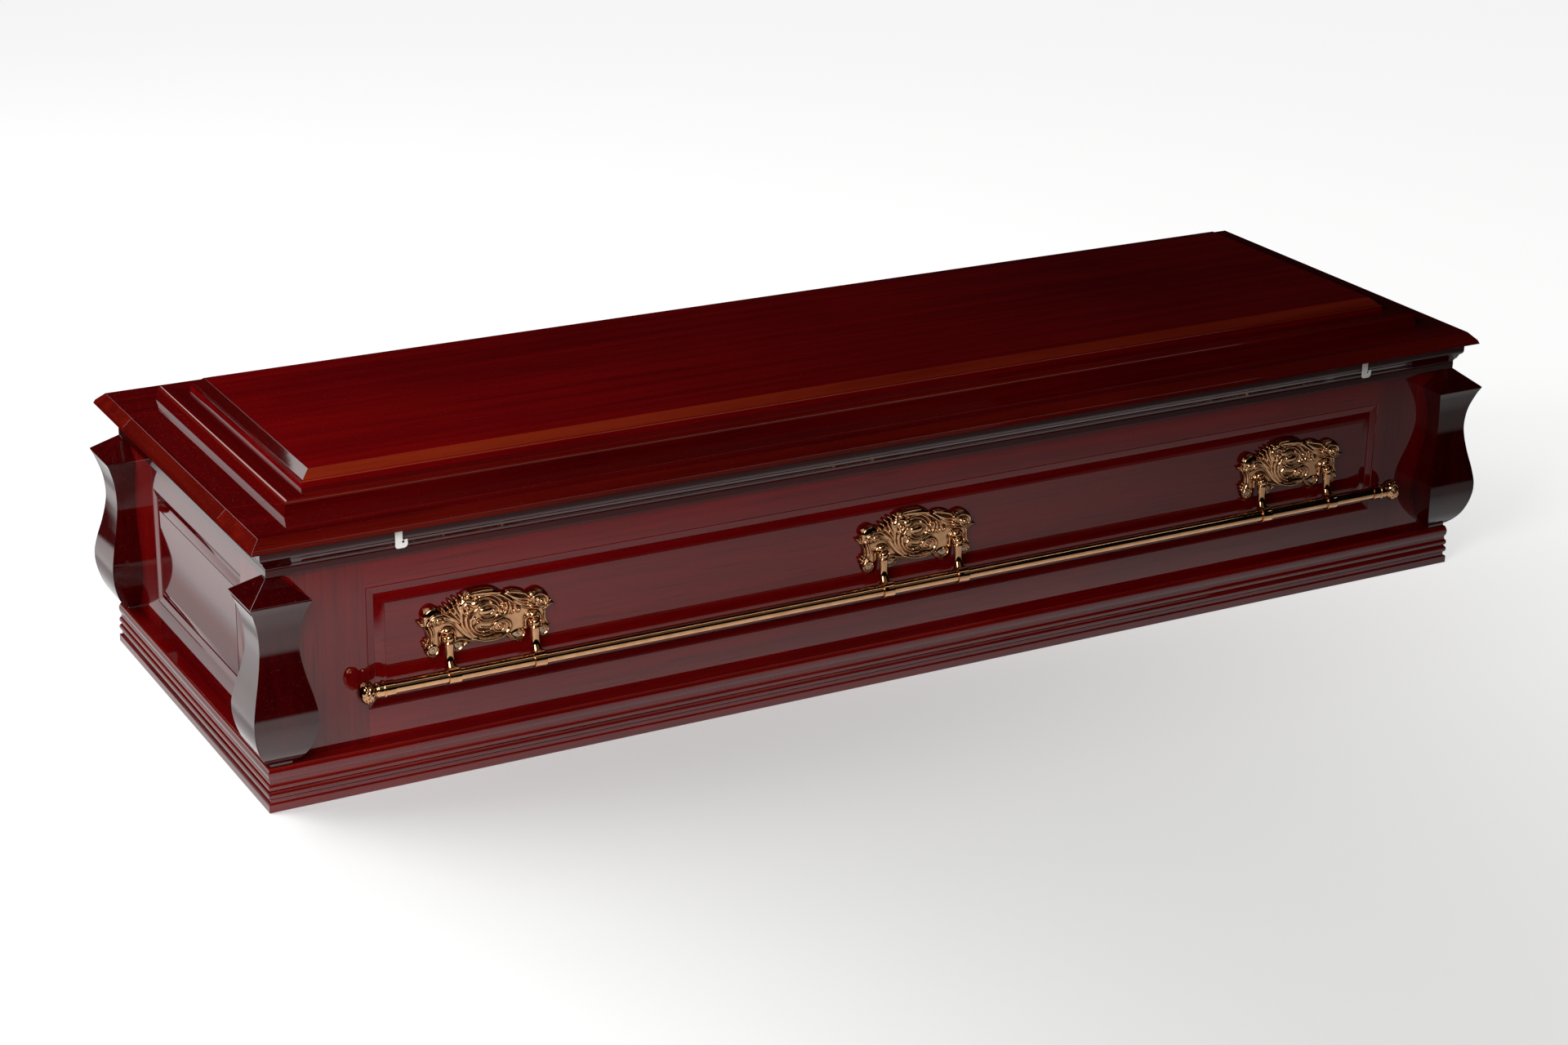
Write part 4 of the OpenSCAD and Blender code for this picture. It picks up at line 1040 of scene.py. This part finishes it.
# The bar as [distance along X, radius]: it ends inside the caps with a small bevel
BAR_IN, BAR_BEVEL = 38.0, 0.5
low, high = BAR_ENDS[0] + BAR_IN, BAR_ENDS[1] - BAR_IN
bar_profile = ([[low, BAR_R - BAR_BEVEL], [low + BAR_BEVEL, BAR_R]]
               + [[s, BAR_R] for s in np.linspace(low + 2, high - 2, 40)]
               + [[high - BAR_BEVEL, BAR_R], [high, BAR_R - BAR_BEVEL]])
BACK = 2
for side in (0, BACK):
    names = ("left", "middle", "right") if side == 0 else ("right", "middle", "left")
    face = SIDES[side]
    body = face + "_handle"
    for word, px in zip(names, PLATE_X):
        handle_plate(side, word, px)
    arms = joined([swing_arm(px + ax) for px in PLATE_X for ax in ARM_X])
    copper_piece("swing_arms_" + face, arms, side, body=body, replaces=[face + "_arms"])
    copper_piece("lift_bar_" + face, revolve(bar_profile, 96, (0, *BAR)), side, body=body,
                 replaces=[face + "_bar"])
    for hand, word in ((-1, names[0]), (1, names[2])):
        shape, hollow = end_cap(hand)
        copper_piece("bar_cap_%s_%s" % (face, word), shape, side, body=body,
                     replaces=["%s_cap_%s" % (face, word)], hollow=hollow, sharp=CAST_SHARP)

# ---------------------------------------------------------------- lid catches
for side in ("front", "back"):
    for hand in ("left", "right"):
        source = "catch_%s_%s" % (side, hand)
        eased_copy("hook_" + source, source, white_paint, "catch_paint", CATCH_EASE,
                   CATCH_ANGLE, 2, 0.0, BODY_TOP - CATCH_DROP)

# ---------------------------------------------------------------- floor, lights, camera
floor_mesh = bpy.data.meshes.new("floor")
FLOOR_HALF = 30.0
corners = [(FLOOR_HALF * x, FLOOR_HALF * y, 0) for x, y in ((-1, -1), (1, -1), (1, 1), (-1, 1))]
floor_mesh.from_pydata(corners, [], [(0, 1, 2, 3)])
linked("floor", floor_mesh)
floor_finish = Finish("pale_floor", Roughness=1.0)
floor_finish.set("Specular IOR Level", 0.0)
rays = floor_finish.tree.nodes.new("ShaderNodeLightPath")
to_camera = Val(floor_finish.tree, rays.outputs["Is Camera Ray"])
in_gloss = Val(floor_finish.tree, rays.outputs["Is Glossy Ray"])
spot = floor_finish.node("ShaderNodeSeparateXYZ", None, {0: floor_finish.place()})
ground = [Val(floor_finish.tree, spot.out.node.outputs[i]) for i in (0, 1)]
east, north = ground
# Where the lamps fade the floor glows for the camera, so that it stays pale;
# in the lacquer it is a pale sheet of limited size in a dark room
away = ((east + 1.2) * (east + 1.2) + (north + 0.9) * (north + 0.9)) ** 0.5
glow = away.step(0.3, 3.3) * 0.82 + 0.06
sheet = ((north + 1.35).step(0.0, 0.5) * (1.15 - north).step(0.0, 0.25)
         * (east + 2.2).step(0.0, 0.3) * (2.6 - east).step(0.0, 0.5))
# It is weaker near the left end and towards the right, and brighter past the
# left end and close in front of the plinth
sheet = sheet * (1 - (-1.02 - east).step(0.0, 0.1) * 0.46 + (-1.14 - east).step(0.0, 0.08) * 1.2
                 - (east - 0.5).step(0.0, 0.9) * 0.30)
close = ((north + 0.62).step(0.0, 0.2) * (-0.3 - north).step(0.0, 0.02)
         * (east + 1.05).step(0.0, 0.05))
FLOOR_PALE, FLOOR_DARK = (0.74, 0.74, 0.74), (0.02, 0.02, 0.02)
floor_finish.set("Base Color", floor_finish.mix(in_gloss * (1 - sheet), FLOOR_PALE, FLOOR_DARK))
floor_finish.set("Emission Color", (1.0, 1.0, 1.0, 1.0))
floor_finish.set("Emission Strength", to_camera * glow + in_gloss * sheet * (close * 0.40 + 0.25))
floor_mesh.materials.append(floor_finish.material)


def softbox(name, place, aim, size, power, colour=(1.0, 1.0, 1.0)):
    """A rectangular lamp at a place, facing a point."""
    lamp = bpy.data.lights.new(name, "AREA")
    lamp.shape = "RECTANGLE"
    lamp.size, lamp.size_y = size
    lamp.energy = power
    lamp.color = colour
    obj = linked(name, lamp)
    place, aim = np.asarray(place, float), np.asarray(aim, float)
    back = (place - aim) / np.linalg.norm(place - aim)
    right = np.cross((0, 0, 1), back)
    right /= np.linalg.norm(right)
    matrix = Matrix(np.column_stack([right, np.cross(back, right), back]).tolist()).to_4x4()
    matrix.translation = place.tolist()
    obj.matrix_world = matrix


softbox("key_softbox", (-1.7, -1.55, 1.35), (-0.5, -0.2, 0.2), (1.1, 1.1), 39.0)
softbox("left_softbox", (-1.95, 0.5, 1.3), (-0.6, 0.0, 0.3), (1.2, 1.2), 29.0)
softbox("front_sky", (0.0, -4.0, 3.2), (0.0, -0.3, 0.2), (6.0, 3.0), 8.5, (1.0, 0.82, 0.58))
# A narrow lamp high in front, for the rounded noses
softbox("edge_strip", (1.6, -2.2, 3.4), (1.6, -0.3, 0.3), (3.2, 0.3), 6.5)
softbox("back_fill", (-1.6, 3.0, 2.2), (0.0, 0.3, 0.2), (1.4, 1.0), 12.0)

world = bpy.data.worlds.new("painted_shade_studio")
bpy.context.scene.world = world
world.use_nodes = True
background = world.node_tree.nodes["Background"].inputs
background["Color"].default_value = (1.0, 1.0, 1.0, 1.0)
background["Strength"].default_value = 0.003

camera_data = bpy.data.cameras.new("camera")
camera_data.lens = 71.09
camera_data.sensor_width = 36.0
camera = linked("camera", camera_data)
VIEW = ((0.87501, 0.16077, -0.45663), (-0.48373, 0.32753, -0.81162), (0.01908, 0.93106, 0.36436))
view = Matrix(VIEW).to_4x4()
view.translation = (-2.2934, -3.9872, 1.9327)
camera.matrix_world = view
bpy.context.scene.camera = camera
bpy.context.scene.view_settings.view_transform = "Standard"
